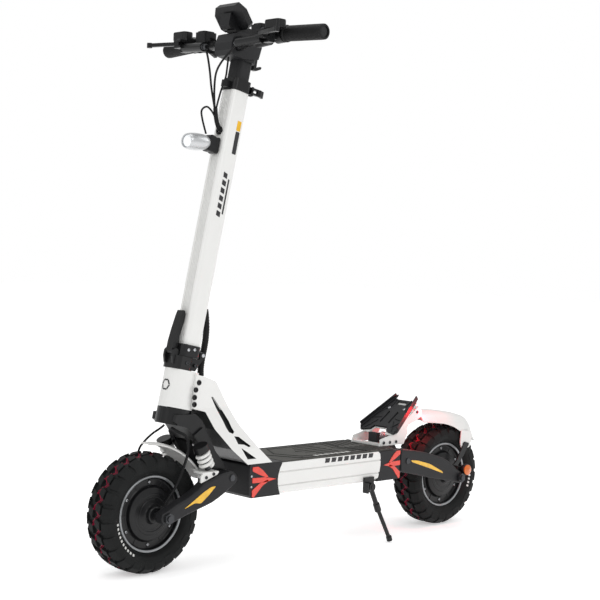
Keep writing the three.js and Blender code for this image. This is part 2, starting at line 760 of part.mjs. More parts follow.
function brakePerch(side) {
  const cylinder = rod(mirrored(CYLINDER_INNER, side), mirrored(CYLINDER_OUTER, side), 10, 16);
  const ring = rod(barPoint(side * 128), barPoint(side * 146), 18, 20);
  const reservoir = planPlate(roundedOutline(14, 23, 9), 1151, 1166);
  reservoir.translate(281, side * 154, 0);
  const y0 = Math.min(side * 126, side * 149);
  const y1 = Math.max(side * 126, side * 149);
  const riser = box(262, 292, y0, y1, 1142, 1153);
  const jaws = [[LEVER_LOW - 5, LEVER_LOW - 0.4], [LEVER_HIGH + 0.4, LEVER_HIGH + 5]];
  const plates = jaws.map(([low, high]) => box(270, 311, y0, y1, low, high));
  const core = box(276, 292, y0, y1, 1122, 1146);
  const [px, py] = LEVER_PIVOT;
  const pin = rod([px, side * py, LEVER_LOW - 3], [px, side * py, LEVER_HIGH + 3], 2.5, 12);
  return join(cut(join(cylinder, ring, reservoir, riser, ...plates, core), barBore()), pin);
}

function brakeLever(side) {
  const [px, py] = LEVER_PIVOT;
  const blade = [
    [px - 7, py - 7], [px + 7, py - 7], [px + 10, py + 4], [px + 16, py + 20], [px + 23, py + 42],
    [px + 29, py + 66], [px + 31, py + 74], [px + 24, py + 76], [px + 20, py + 66],
    [px + 13, py + 42], [px + 5, py + 20], [px - 7, py + 8],
  ];
  const plate = planPlate(blade.map(([x, y]) => [x, side * y]), LEVER_LOW, LEVER_HIGH);
  const tip = [px + 27, side * (py + 72)];
  const knob = rod([...tip, LEVER_LOW - 1.5], [...tip, LEVER_HIGH + 1.5], 6, 14);
  return cut(join(plate, knob), rod([px, side * py, 1125], [px, side * py, 1150], 2.8, 12));
}

function controlPod(side) {
  const ring = rod(barPoint(side * 78), barPoint(side * 108), 17.5, 20);
  const body = planPlate(roundedOutline(20, 16, 7), 1141, 1164);
  body.translate(264, side * 93, 0);
  const switches = side > 0 ? [HORN, LIGHT_SWITCH] : [];
  const pockets = switches.map(([x, y, z]) => rod([x - 2, y, z], [x + 9, y, z], 4.6, 14));
  return cut(join(ring, body), barBore(), ...pockets);
}

const HORN = [244, 86, 1157];
const LIGHT_SWITCH = [244, 100, 1157];

function pushButton() {
  return join(rod([-2, 0, 0], [6, 0, 0], 4.3, 14), rod([-3.4, 0, 0], [-2, 0, 0], 3, 14, 4.3));
}

// A thumb paddle that swings about the bar.
function throttlePaddle() {
  const [x, , z] = barPoint(-116);
  const hub = rod(barPoint(-112.5), barPoint(-121.5), 14.5, 20);
  const paddle = sidePlate([
    [x - 10, z - 6], [x - 22, z - 16], [x - 38, z - 24], [x - 40, z - 20], [x - 30, z - 8], [x - 12, z + 4],
  ], -121, -112);
  return cut(join(hub, paddle), rod(barPoint(-106), barPoint(-128), BAR_R + 1.2, 20));
}

function foldHook() {
  const [t, s] = HOOK_PIVOT;
  const side = [
    [t - 5, s + 6], [t - 10, s - 2], [t - 12, s - 33], [t - 20, s - 33], [t - 32, s - 26],
    [t - 34, s - 21], [t - 30, s - 20], [t - 19, s - 26], [t - 18, s - 2],
  ];
  return join(crossRod(t, s, -5.2, 5.2, 11, 20), sidePlate(side, -5, 5));
}

function addHandlebar() {
  add(column, 'stem_head', stemHead(), 'graphite');
  add(scooter, 'handlebar', handlebar(), 'black');
  add(scooter, 'grip_left', grip(1), 'rubber');
  add(scooter, 'grip_right', grip(-1), 'rubber');
  add(column, 'display_console', displayConsole(), 'black');
  add(scooter, 'brake_perch_left', brakePerch(1), 'black');
  add(scooter, 'brake_perch_right', brakePerch(-1), 'black');
  add(scooter, 'brake_lever_left', brakeLever(1), 'black');
  add(scooter, 'brake_lever_right', brakeLever(-1), 'black');
  add(scooter, 'switch_pod', controlPod(1), 'graphite');
  add(scooter, 'throttle_pod', controlPod(-1), 'graphite');
  add(scooter, 'throttle_paddle', throttlePaddle(), 'black');
  add(scooter, 'horn_button', pushButton(), 'red').position.set(...HORN);
  add(scooter, 'light_button', pushButton(), 'rubber').position.set(...LIGHT_SWITCH);
  add(column, 'fold_hook', foldHook(), 'black');
}

// ---------------------------------------------------------------- swing arms and suspension

function armPlate(profile, y0, y1) {
  return sidePlate(profile, Math.min(y0, y1), Math.max(y0, y1));
}

function pivotBore([x, z], radius) {
  return crossRod(x, z, -100, 100, radius + GAP);
}

function frontArm(side) {
  const profile = [
    [484, 133], [480, 138], [470, 141.5], [453, 149], [438, 156], [417, 164], [390, 178],
    [373, 191], [353, 197], [328, 206], [300, 211], [286, 203], [281, 194], [284, 186],
    [292, 180], [316, 165], [350, 148], [389, 137], [417, 129], [453, 117], [463, 114],
    [472, 113.6], [480, 117], [484, 124],
  ];
  return cut(
    armPlate(profile, side * ARM_INNER_Y, side * ARM_OUTER_Y),
    pivotBore([FRONT_AXLE_X, TYRE_R], AXLE_R),
    pivotBore(FRONT_PIVOT, PIVOT_PIN_R),
  );
}

// Both rear arms, the bar that ties them and the post that presses on the spring.
function rearArm() {
  const profile = [
    [-240, 212], [-258, 214], [-314, 205], [-340, 199], [-378, 189], [-417, 173], [-450, 151],
    [-466, 141.3], [-475, 134], [-477, 127], [-474, 119], [-466, 114],
    [-456, 114.5], [-405, 126], [-348, 137], [-284, 152], [-246, 160], [-240, 170],
  ];
  const plates = [1, -1].map((side) => armPlate(profile, side * ARM_INNER_Y, side * ARM_OUTER_Y));
  const tie = box(-316, -290, -60, 60, 172, 196);
  const postSide = [[-312, 190], [-292, 190], [-268, 226], [-266, 246], [-276, 246], [-282, 230]];
  const post = sidePlate(postSide, -12, 12);
  return cut(
    join(...plates, tie, post),
    pivotBore([REAR_AXLE_X, TYRE_R], AXLE_R),
    pivotBore(REAR_PIVOT, PIVOT_PIN_R),
  );
}

function axleWithStator() {
  const shaft = crossRod(0, 0, -95, 95, AXLE_R, 16);
  const stator = crossRod(0, 0, -13, 13, 56, 24);
  const nuts = [[84.4, 92], [-92, -84.4]].map(([a, b]) => crossRod(0, 0, a, b, 12, 6));
  return join(shaft, stator, ...nuts);
}

// The hub motor's turning shell carries the rim flanges.
function wheelHub() {
  const bore = AXLE_R + 0.5;
  const outside = [
    [bore, -44], [17, -44], [20, -34], [48, -28], [52, -20], [75, -20], [76, -RIM_HALF_WIDTH],
    [RIM_R, -RIM_HALF_WIDTH], [77, -19],
  ];
  const inside = [[bore, 16], [60, 16], [60, -16], [bore, -16]];
  const mirror = outside.map(([r, y]) => [r, -y]).reverse();
  return turned([...outside, ...mirror, ...inside], 28);
}

function tyre() {
  const side = [
    [77.9, 18.4], [RIM_R + 1.3, 28.2], [93, 40], [108, TYRE_HALF_WIDTH], [120, 37], [TYRE_R, 20],
  ];
  const mirror = side.map(([r, y]) => [r, -y]);
  return turned([...mirror, ...side.reverse()], 40);
}

function addWheel(end, x) {
  const pieces = [
    ['axle', axleWithStator(), 'steel'], ['hub', wheelHub(), 'black'], ['tyre', tyre(), 'rubber'],
  ];
  for (const [name, geometry, finish] of pieces) {
    add(scooter, `${end}_${name}`, geometry, finish).position.set(x, 0, TYRE_R);
  }
}

function coilSpring(from, to, coilRadius, wireRadius, turns) {
  const a = new THREE.Vector3(...from);
  const b = new THREE.Vector3(...to);
  const axis = b.clone().sub(a);
  const length = axis.length();
  const turn = new THREE.Quaternion().setFromUnitVectors(new THREE.Vector3(0, 0, 1), axis.normalize());
  const stepsPerTurn = 8;
  const steps = turns * stepsPerTurn;
  const points = Array.from({ length: steps + 1 }, (_, i) => {
    const angle = (i / stepsPerTurn) * 2 * Math.PI;
    const height = wireRadius + (length - 2 * wireRadius) * (i / steps);
    const p = new THREE.Vector3(coilRadius * Math.cos(angle), coilRadius * Math.sin(angle), height);
    return p.applyQuaternion(turn).add(a).toArray();
  });
  return tube(points, wireRadius, steps, 6);
}

function addSuspension() {
  add(scooter, 'front_arm_left', frontArm(1), 'graphite');
  add(scooter, 'front_arm_right', frontArm(-1), 'graphite');
  add(scooter, 'rear_arm', rearArm(), 'graphite');
  for (const [name, [x, z]] of [['front_pivot_pin', FRONT_PIVOT], ['rear_pivot_pin', REAR_PIVOT]]) {
    add(scooter, name, crossRod(x, z, -86, 86, PIVOT_PIN_R), 'steel');
  }
  for (const [name, side] of [['front_spring_left', 1], ['front_spring_right', -1]]) {
    const spring = coilSpring(mirrored(SPRING_FOOT, side), mirrored(SPRING_TOP, side), 13, 3.2, 4);
    add(scooter, name, spring, 'white');
  }
  add(scooter, 'rear_spring', coilSpring([-236.4, 0, 237], [-266, 0, 237], 8, 2.2, 4), 'steel');
}

// ---------------------------------------------------------------- fenders

// A curved blade swept over a wheel. Each station is [x, z, bandHalf, edgeHalf, drop]: the point on
// the crown, the half widths of the flat band and of the edge, and how far the edge lies below.
function sweptFender(stations, [wheelX, wheelZ], thickness = 3) {
  const section = ([, , band, edge, drop]) => [
    [-edge, -drop], [-band, 0], [band, 0], [edge, -drop],
    [edge, -drop - thickness], [band, -thickness], [-band, -thickness], [-edge, -drop - thickness],
  ];
  const sections = stations.map((station, i) => {
    const [x, z] = station;
    const [xa, za] = stations[Math.max(0, i - 1)];
    const [xb, zb] = stations[Math.min(stations.length - 1, i + 1)];
    const normal = new THREE.Vector2(za - zb, xb - xa).normalize();
    if (normal.dot(new THREE.Vector2(x - wheelX, z - wheelZ)) < 0) {
      normal.negate();
    }
    return section(station).map(([y, n]) => [x + normal.x * n, y, z + normal.y * n]);
  });
  return lofted(section(stations[0]), sections);
}

// The front blade and the white seats on the arms that it and the two springs share.
function frontFender() {
  const stations = Array.from({ length: 10 }, (_, i) => {
    const share = i / 9;
    const angle = THREE.MathUtils.degToRad(88 + 66 * share);
    const radius = 146 + 14 * share;
    const width = 0.55 + 0.45 * Math.min(1, 4 * share);
    return [
      FRONT_AXLE_X + radius * Math.cos(angle), TYRE_R + radius * Math.sin(angle),
      12 * width, 29 * width, 9 * width,
    ];
  });
  const blade = sweptFender(stations, [FRONT_AXLE_X, TYRE_R]);
  const flange = [[333, 213.5], [333, 206.5], [380, 190.5], [380, 205], [372, 213.5]];
  const seats = [1, -1].map((side) => join(
    armPlate([[331, 208.5], [362, 208.5], [362, 213.5], [331, 213.5]], side * 18, side * 50),
    armPlate([[331, 208.5], [376, 208.5], [376, 213.5], [331, 213.5]], side * 46, side * 78),
    armPlate(flange, side * 74, side * 78),
  ));
  return join(blade, ...seats);
}

function rearFender() {
  const stations = [
    [-364, 290.5, 22, 40, 22], [-390, 292.5, 23, 42, 25], [-420, 292.5, 24, 44, 27],
    [-450, 291, 24, 45, 27], [-485, 286.5, 24, 46, 26], [-515, 280, 23, 45, 23],
    [-551, 270, 20, 32, 10], [-568, 250, 19, 26, 6], [-582, 229, 18, 22, 4], [-595, 207, 17, 20, 3],
  ];
  const blade = sweptFender(stations, [REAR_AXLE_X, TYRE_R]);
  const tab = [[-502, 262], [-538, 262], [-545, 212], [-540, 192], [-508, 190], [-502, 206]];
  const stay = [[-532, 208], [-518, 212], [-468, 150], [-482, 147]];
  const sides = [1, -1].map((side) => join(
    armPlate(tab, side * 43, side * 46.5),
    armPlate(stay, side * 46, side * 49.5),
    armPlate([[-484, 146], [-484, 156], [-466, 156], [-462, 146]], side * 46, side * 54.7),
  ));
  return join(blade, ...sides);
}

function addFenders() {
  add(scooter, 'front_fender', frontFender(), 'white');
  add(scooter, 'rear_fender', rearFender(), 'white');
}

// ---------------------------------------------------------------- cables

function controlHarness() {
  const trunk = [[309, 1, 989], [306, 0, 972], [302, 0, 957], [294.8, 0, 943.5]];
  const leftHose = [
    [300, 55.6, 1126], [301, 42, 1114], [302, 10, 1090],
    [301, -10, 1066], [306, -8, 1028], [309, -1, 984],
  ];
  const rightHose = [
    [300, -55, 1126], [296, -49, 1112], [293, -42, 1077],
    [296, -30, 1035], [302, -12, 997], [308, 0, 978],
  ];
  const consoleLead = [[286, 12, 1101], [290, 14, 1080], [294, 14, 1055], [302, 8, 1023], [308, 1, 984]];
  const lampLead = [
    [332, 0, 932], [343, 0, 961], [346, 0, 981], [332, 0, 990], [317, 0, 981], [306, 0, 966],
  ];
  const runs = [leftHose, rightHose, consoleLead, lampLead].map((points) => tube(points, 2.2, 10, 6));
  return join(tube(trunk, 4.6, 6, 8), ...runs);
}

function foldHarness() {
  const points = [
    [-31, 0, 441], [-36, 0, 430], [-44, 0, 404], [-48, 0, 380], [-49, 0, 358],
    [-48.6, 0, 339], [-50, 0, 316], [-54, 0, 299],
  ];
  return tube(points, 7, 12, 8);
}

function addCables() {
  add(scooter, 'control_harness', controlHarness(), 'rubber');
  add(column, 'fold_harness', foldHarness(), 'rubber');
  const hose = [
    [411.5, -12, 306.5], [420, -16, 299], [433, -26, 287], [444, -39, 269],
    [450, -48.5, 250], [452, -49, 215], [445, -49, 175],
  ];
  add(scooter, 'front_brake_hose', tube(hose, 2.2, 12, 6), 'rubber');
  const lead = [
    [418, 20, 304.5], [410, 33, 297], [399, 45, 289], [394, 49.5, 270],
    [398, 49, 240], [420, 48.5, 190], [450, 47.5, 150],
  ];
  add(scooter, 'front_motor_lead', tube(lead, 3, 12, 6), 'rubber');
}

addDeck();
addNeck();
addFootrest();
addKickstand();
addChargePort();
addColumn();
addStem();
addHandlebar();
addSuspension();
addWheel('front', FRONT_AXLE_X);
addWheel('rear', REAR_AXLE_X);
addFenders();
addCables();

export default scooter;
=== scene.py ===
"""Electric kick scooter: finishes, fine detail, camera and light on the CAD frame.

Lengths are in millimetres in this script and turned into metres when a mesh is made.
+X is forward, +Y the rider's left and +Z up, with the origin on the ground.
"""
import math

import bmesh
import bpy
from mathutils import Matrix, Vector


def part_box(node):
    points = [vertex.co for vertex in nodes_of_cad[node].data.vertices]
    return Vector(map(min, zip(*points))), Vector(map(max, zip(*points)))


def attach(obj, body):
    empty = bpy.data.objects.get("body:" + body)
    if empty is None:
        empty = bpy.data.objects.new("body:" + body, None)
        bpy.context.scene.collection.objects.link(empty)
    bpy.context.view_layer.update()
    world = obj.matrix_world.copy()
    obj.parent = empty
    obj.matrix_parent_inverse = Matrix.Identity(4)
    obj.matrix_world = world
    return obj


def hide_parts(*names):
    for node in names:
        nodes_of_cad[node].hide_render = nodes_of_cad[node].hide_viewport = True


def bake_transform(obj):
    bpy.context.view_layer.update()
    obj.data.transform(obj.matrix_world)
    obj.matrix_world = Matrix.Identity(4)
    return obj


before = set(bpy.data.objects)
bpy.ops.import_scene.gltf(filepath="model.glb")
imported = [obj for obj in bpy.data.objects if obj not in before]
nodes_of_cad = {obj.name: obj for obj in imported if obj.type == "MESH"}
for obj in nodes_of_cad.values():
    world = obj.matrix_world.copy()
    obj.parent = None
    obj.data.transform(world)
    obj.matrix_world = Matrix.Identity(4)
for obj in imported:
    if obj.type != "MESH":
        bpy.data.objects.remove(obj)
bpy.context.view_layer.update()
scene = bpy.context.scene

MM = 0.001
FRONT_WHEEL = Vector((470, 0, 127.5))
REAR_WHEEL = Vector((-463, 0, 127.5))
COLUMN_FOOT = Vector((439, 0, 127.5))
RAKE = math.atan2(0.2028, 0.9792)
ARM_FACE = 84
DECK_SIDE = 88


# ------------------------------------------------------------------ places

def column(t, y, s):
    """A point given forward, left and up along the raked steering column."""
    return COLUMN_FOOT + Vector((
        t * math.cos(RAKE) - s * math.sin(RAKE), y, t * math.sin(RAKE) + s * math.cos(RAKE)))


def side_view(x, z, y):
    return Vector((x, y, z))


def plan_view(x, y, z):
    return Vector((x, y, z))


def column_side(t, s, y):
    return column(t, y, s)


def axis_matrix(start, direction):
    """A frame at start whose Z axis points along direction."""
    turn = Vector(direction).to_track_quat("Z", "Y").to_matrix().to_4x4()
    return Matrix.Translation(Vector(start)) @ turn


# ------------------------------------------------------------------ materials

MATERIALS = {}


def principled(name):
    material = bpy.data.materials.new(name)
    material.use_nodes = True
    tree = material.node_tree
    MATERIALS[name] = material
    return material, tree, tree.nodes["Principled BSDF"]


def add_node(tree, kind, **inputs):
    made = tree.nodes.new("ShaderNode" + kind)
    for key, value in inputs.items():
        made.inputs[key.replace("_", " ")].default_value = value
    return made


def calculate(tree, operation, first, second=None):
    """A Math node; each input is a number or another node's output."""
    made = add_node(tree, "Math")
    made.operation = operation
    for socket, value in zip(made.inputs, (first, second)):
        if value is None:
            continue
        if isinstance(value, (int, float)):
            socket.default_value = value
        else:
            tree.links.new(value, socket)
    return made.outputs[0]


def shade(colour, factor):
    return tuple(min(1.0, c * factor) for c in colour) + (1.0,)


def surface(name, colour, roughness, metallic=0.0, mottle=0.06, cloud=14.0, grain=700.0,
            relief=0.02, spread=0.08, coat=0.0, stretch=(1, 1, 1), specular=0.5):
    """A finish with cloudy colour, uneven gloss and a fine grain in relief."""
    material, tree, shader = principled(name)
    shader.inputs["Specular IOR Level"].default_value = specular
    place = add_node(tree, "TexCoord")
    scale = add_node(tree, "Mapping")
    scale.inputs["Scale"].default_value = stretch
    tree.links.new(place.outputs["Object"], scale.inputs["Vector"])
    clouds = add_node(tree, "TexNoise", Scale=cloud, Detail=5.0)
    fine = add_node(tree, "TexNoise", Scale=grain, Detail=3.0)
    for texture in (clouds, fine):
        tree.links.new(scale.outputs["Vector"], texture.inputs["Vector"])
    ramp = add_node(tree, "ValToRGB")
    ramp.color_ramp.elements[0].position = 0.3
    ramp.color_ramp.elements[1].position = 0.7
    ramp.color_ramp.elements[0].color = shade(colour, 1 - mottle)
    ramp.color_ramp.elements[1].color = shade(colour, 1 + mottle)
    tree.links.new(clouds.outputs["Fac"], ramp.inputs["Fac"])
    tree.links.new(ramp.outputs["Color"], shader.inputs["Base Color"])
    gloss = add_node(tree, "MapRange")
    gloss.inputs["To Min"].default_value = max(0.03, roughness - spread)
    gloss.inputs["To Max"].default_value = min(1.0, roughness + spread)
    tree.links.new(fine.outputs["Fac"], gloss.inputs["Value"])
    tree.links.new(gloss.outputs["Result"], shader.inputs["Roughness"])
    bump = add_node(tree, "Bump", Strength=relief * 10, Distance=0.0004)
    tree.links.new(fine.outputs["Fac"], bump.inputs["Height"])
    tree.links.new(bump.outputs["Normal"], shader.inputs["Normal"])
    shader.inputs["Metallic"].default_value = metallic
    shader.inputs["Coat Weight"].default_value = coat
    return material, tree, shader, ramp


def tyre_rubber(name, centre):
    """Tread rubber: cloudy in tone all over, and a crimson zig-zag line round the middle."""
    _, tree, shader, ramp = surface(
        name, (0.0058, 0.0064, 0.0064), 0.6, mottle=0.25, cloud=30, grain=420, relief=0.06, specular=0.18)
    place = add_node(tree, "TexCoord")
    split = add_node(tree, "SeparateXYZ")
    tree.links.new(place.outputs["Object"], split.inputs[0])
    x = calculate(tree, "SUBTRACT", split.outputs["X"], centre.x * MM)
    z = calculate(tree, "SUBTRACT", split.outputs["Z"], centre.z * MM)
    turns = calculate(tree, "MULTIPLY", calculate(tree, "ARCTAN2", z, x), PITCHES / (2 * math.pi))
    wave = calculate(tree, "PINGPONG", calculate(tree, "ADD", turns, 50.25), 0.5)
    line = calculate(tree, "MULTIPLY", calculate(tree, "SUBTRACT", wave, 0.25), 0.036)
    masks = []
    for shift, half_width in ((0.0, 0.0017), (0.0052, 0.0009)):
        offset = calculate(tree, "SUBTRACT", split.outputs["Y"], calculate(tree, "ADD", line, shift))
        masks.append(calculate(tree, "LESS_THAN", calculate(tree, "ABSOLUTE", offset), half_width))
    mask = calculate(tree, "MAXIMUM", masks[0], masks[1])
    paint = add_node(tree, "Mix")
    paint.data_type = "RGBA"
    paint.inputs[7].default_value = (0.22, 0.006, 0.03, 1)
    tree.links.new(mask, paint.inputs[0])
    tree.links.new(ramp.outputs["Color"], paint.inputs[6])
    tree.links.new(paint.outputs[2], shader.inputs["Base Color"])


def neck_white_with_painted_shade():
    """White paint with painted shade: below 338 mm it turns near black on faces that look forward and on the
    side plates' inner faces.
    """
    _, tree, shader, ramp = surface(
        "neck_white_with_painted_shade", (0.70, 0.70, 0.685), 0.3, mottle=0.015, cloud=6, grain=520, relief=0.008, coat=0.35)
    place = add_node(tree, "TexCoord")
    height = add_node(tree, "SeparateXYZ")
    tree.links.new(place.outputs["Object"], height.inputs[0])
    facing = add_node(tree, "SeparateXYZ")
    tree.links.new(place.outputs["Normal"], facing.inputs[0])
    low = calculate(tree, "LESS_THAN", height.outputs["Z"], 0.338)
    across = calculate(tree, "ABSOLUTE", facing.outputs["Y"])
    edge = calculate(tree, "LESS_THAN", across, 0.75)
    ahead = calculate(tree, "MULTIPLY", edge, calculate(tree, "GREATER_THAN", facing.outputs["X"], -0.3))
    inward = calculate(tree, "MULTIPLY", facing.outputs["Y"], height.outputs["Y"])
    painted_shade_mask = calculate(tree, "MAXIMUM", ahead, calculate(tree, "LESS_THAN", inward, -0.02))
    paint = add_node(tree, "Mix")
    paint.data_type = "RGBA"
    # near-black painted shade for the neck's forward and inner faces
    paint.inputs[7].default_value = (0.012, 0.0122, 0.013, 1)
    tree.links.new(calculate(tree, "MULTIPLY", low, painted_shade_mask), paint.inputs[0])
    tree.links.new(ramp.outputs["Color"], paint.inputs[6])
    tree.links.new(paint.outputs[2], shader.inputs["Base Color"])


def glowing(name, colour, glow, roughness=0.12):
    """A moulded lens: faceted relief and a faint light of its own, which on the reflectors, being no lamps,
    is a painted glow.
    """
    _, tree, shader, _ = surface(
        name, colour, roughness, mottle=0.15, cloud=60, grain=240, relief=0.03, spread=0.05, coat=0.6)
    cells = add_node(tree, "TexVoronoi", Scale=420.0)
    place = add_node(tree, "TexCoord")
    tree.links.new(place.outputs["Object"], cells.inputs["Vector"])
    bump = add_node(tree, "Bump", Strength=0.35, Distance=0.0006)
    tree.links.new(cells.outputs["Distance"], bump.inputs["Height"])
    tree.links.new(bump.outputs["Normal"], shader.inputs["Normal"])
    shader.inputs["Emission Color"].default_value = colour + (1,)
    shader.inputs["Emission Strength"].default_value = glow


PITCHES = 24

surface("white", (0.70, 0.70, 0.685), 0.3, mottle=0.015, cloud=6, grain=520, relief=0.008, coat=0.35)
surface("white_plastic", (0.69, 0.69, 0.675), 0.36, mottle=0.02, cloud=8, grain=600, relief=0.012)
surface("silver", (0.52, 0.53, 0.54), 0.3, metallic=0.6, mottle=0.05, grain=500, relief=0.01,
        stretch=(0.15, 1, 1))
surface("rim_silver", (0.30, 0.31, 0.32), 0.36, metallic=0.8, mottle=0.12, cloud=30, relief=0.012)
surface("graphite", (0.013, 0.0132, 0.0145), 0.46, mottle=0.12, grain=1100, relief=0.035, specular=0.26)
surface("black_metal", (0.006, 0.0062, 0.0068), 0.34, mottle=0.2, grain=1300, relief=0.02, coat=0.06,
        specular=0.28)
surface("black_plastic", (0.007, 0.0072, 0.008), 0.42, mottle=0.18, grain=900, relief=0.05, specular=0.26)
surface("rubber", (0.006, 0.006, 0.0064), 0.55, mottle=0.2, grain=650, relief=0.06, specular=0.2)
surface("mat_rubber", (0.070, 0.069, 0.063), 0.72, mottle=0.14, cloud=22, grain=480, relief=0.09,
        specular=0.25)
surface("mat_ridge", (0.012, 0.012, 0.011), 0.66, mottle=0.14, cloud=22, grain=480, relief=0.08,
        specular=0.2)
surface("steel", (0.50, 0.51, 0.53), 0.28, metallic=1.0, mottle=0.1, cloud=40, relief=0.012,
        stretch=(1, 0.1, 1))
surface("dark_steel", (0.06, 0.062, 0.066), 0.38, metallic=0.9, mottle=0.2, cloud=40, relief=0.012)
surface("brake_steel", (0.42, 0.42, 0.43), 0.3, metallic=1.0, mottle=0.12, cloud=50, relief=0.02)
surface("battery_wrap", (0.08, 0.16, 0.24), 0.5, mottle=0.1, grain=300, relief=0.03)
surface("ink", (0.012, 0.012, 0.014), 0.45, mottle=0.2, grain=300, relief=0.01)
surface("pale_ink", (0.62, 0.62, 0.60), 0.5, mottle=0.1, grain=300, relief=0.01)
glowing("red_lens", (0.72, 0.018, 0.012), 0.5)
# the reflectors' emission is a painted glow; they are no lamps
glowing("red_reflector", (0.62, 0.02, 0.002), 0.1)
glowing("yellow_reflector", (0.68, 0.38, 0.004), 0.05)
glowing("amber_lens", (0.55, 0.12, 0.006), 0.05)
glowing("headlight_lens", (0.86, 0.88, 0.9), 0.25)
glowing("tail_glow", (0.9, 0.02, 0.015), 9.0)
neck_white_with_painted_shade()
surface("screen", (0.008, 0.01, 0.013), 0.08, mottle=0.3, grain=60, relief=0.001, spread=0.03, coat=0.8)
for wheel_name, wheel_centre in (("front", FRONT_WHEEL), ("rear", REAR_WHEEL)):
    tyre_rubber(wheel_name + "_tyre_rubber", wheel_centre)


# ------------------------------------------------------------------ meshes

def piece(name, bm, finish, body, bevel=0.0, smooth=35, segments=2, cad=(), limit=40):
    """Makes an object of a bmesh in millimetres. body is one name, which it is attached to; a tuple (a, b,
    start, end) in its place is not used.
    """
    bmesh.ops.recalc_face_normals(bm, faces=bm.faces)
    mesh = bpy.data.meshes.new(name)
    bm.to_mesh(mesh)
    bm.free()
    mesh.transform(Matrix.Scale(MM, 4))
    for face in mesh.polygons:
        face.use_smooth = True
    mesh.set_sharp_from_angle(angle=math.radians(smooth))
    made = bpy.data.objects.new(name, mesh)
    scene.collection.objects.link(made)
    mesh.materials.append(MATERIALS[finish])
    if isinstance(body, str):
        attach(made, body)
    else:
        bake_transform(made)
    if bevel:
        add_bevel(made, bevel, segments, limit)
    if cad:
        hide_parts(*cad)
    return made


def add_bevel(made, width, segments=2, limit=40):
    bevel = made.modifiers.new("edges", "BEVEL")
    bevel.width = width * MM
    bevel.segments = segments
    bevel.limit_method = "ANGLE"
    bevel.angle_limit = math.radians(limit)
    bevel.harden_normals = True


def fill_ring(bm, rings, closed_rows=True, caps=True):
    """Faces between rings of vertices, each joined to the next, and a face on both ends."""
    count = len(rings[0])
    for a, b in zip(rings, rings[1:]):
        for i in range(count if closed_rows else count - 1):
            j = (i + 1) % count
            bm.faces.new((a[i], a[j], b[j], b[i]))
    if caps:
        bm.faces.new(list(reversed(rings[0])))
        bm.faces.new(rings[-1])


def add_prism(bm, outline, low, high, place):
    """An outline of two coordinates, pulled from low to high along the third."""
    rings = [[bm.verts.new(place(a, b, level)) for a, b in outline] for level in (low, high)]
    fill_ring(bm, rings)


def prism(name, outline, low, high, place, finish, body, **options):
    bm = bmesh.new()
    add_prism(bm, outline, low, high, place)
    return piece(name, bm, finish, body, **options)


def add_turned(bm, profile, start, direction, steps=64):
    """A closed profile of (radius, height) turned about the axis through start."""
    matrix = axis_matrix(start, direction)
    columns = []
    for k in range(steps):
        angle = 2 * math.pi * k / steps
        ring = []
        for radius, height in profile:
            spot = Vector((radius * math.cos(angle), radius * math.sin(angle), height))
            ring.append(bm.verts.new(matrix @ spot))
        columns.append(ring)
    rows = len(profile)
    for k in range(steps):
        a, b = columns[k], columns[(k + 1) % steps]
        for i in range(rows):
            j = (i + 1) % rows
            bm.faces.new((a[i], a[j], b[j], b[i]))


def add_disc(bm, start, end, radius, steps=32, far_radius=None):
    """A solid rod, or a cone when far_radius is given."""
    far_radius = radius if far_radius is None else far_radius
    matrix = axis_matrix(start, end - start)
    length = (end - start).length
    rings = []
    for height, size in ((0, radius), (length, far_radius)):
        rings.append([
            bm.verts.new(matrix @ Vector((
                size * math.cos(2 * math.pi * k / steps), size * math.sin(2 * math.pi * k / steps), height)))
            for k in range(steps)])
    fill_ring(bm, rings)


def smooth_path(points, per=8, closed=False):
    """A Catmull-Rom curve through the points."""
    spots = [Vector(p) for p in points]
    count = len(spots)
    found = []
    for i in range(count if closed else count - 1):
        if closed:
            a, b, c, d = (spots[(i + k) % count] for k in (-1, 0, 1, 2))
        else:
            a, b = spots[max(i - 1, 0)], spots[i]
            c, d = spots[i + 1], spots[min(i + 2, count - 1)]
        for k in range(per):
            u = k / per
            found.append(0.5 * (
                2 * b + (c - a) * u + (2 * a - 5 * b + 4 * c - d) * u * u
                + (3 * b - a - 3 * c + d) * u ** 3))
    if not closed:
        found.append(spots[-1])
    return found


def smooth_outline(points, per=4):
    """A closed outline of (a, b) with its corners rounded off by a curve."""
    return [(p.x, p.y) for p in smooth_path([(a, b, 0) for a, b in points], per, closed=True)]


def rounded(points, radius, steps=5):
    """A closed outline whose corners are arcs of about that radius."""
    found = []
    count = len(points)
    for i in range(count):
        before, at, after = (Vector(points[(i + k) % count]) for k in (-1, 0, 1))
        reach = min(radius, (before - at).length / 2.1, (after - at).length / 2.1)
        start = at + (before - at).normalized() * reach
        end = at + (after - at).normalized() * reach
        for k in range(steps + 1):
            u = k / steps
            spot = start * (1 - u) ** 2 + at * 2 * u * (1 - u) + end * u * u
            found.append((spot.x, spot.y))
    return found


def add_sweep(bm, path, radius, sides=14):
    """A round tube along a path, whose radius is one number or one for each point."""
    sizes = radius if isinstance(radius, list) else [radius] * len(path)
    normal = None
    rings = []
    for i, spot in enumerate(path):
        ahead = path[min(i + 1, len(path) - 1)] - path[max(i - 1, 0)]
        ahead.normalize()
        if normal is None:
            normal = ahead.orthogonal().normalized()
        normal = (normal - ahead * normal.dot(ahead)).normalized()
        across = ahead.cross(normal)
        rings.append([
            bm.verts.new(spot + sizes[i] * (
                normal * math.cos(2 * math.pi * k / sides) + across * math.sin(2 * math.pi * k / sides)))
            for k in range(sides)])
    fill_ring(bm, rings)


def add_strip(bm, points, width, low, high, place, closed=False):
    """A raised line of that width along a plan of points."""
    spots = [Vector(p) for p in points]
    last = len(spots) - 1
    count = len(spots) if closed else last
    for i in range(count):
        a, b = spots[i], spots[(i + 1) % len(spots)]
        along = (b - a).normalized() * width / 2
        across = Vector((-along.y, along.x))
        corners = [a - along + across, a - along - across, b + along - across, b + along + across]
        add_prism(bm, [(p.x, p.y) for p in corners], low, high, place)


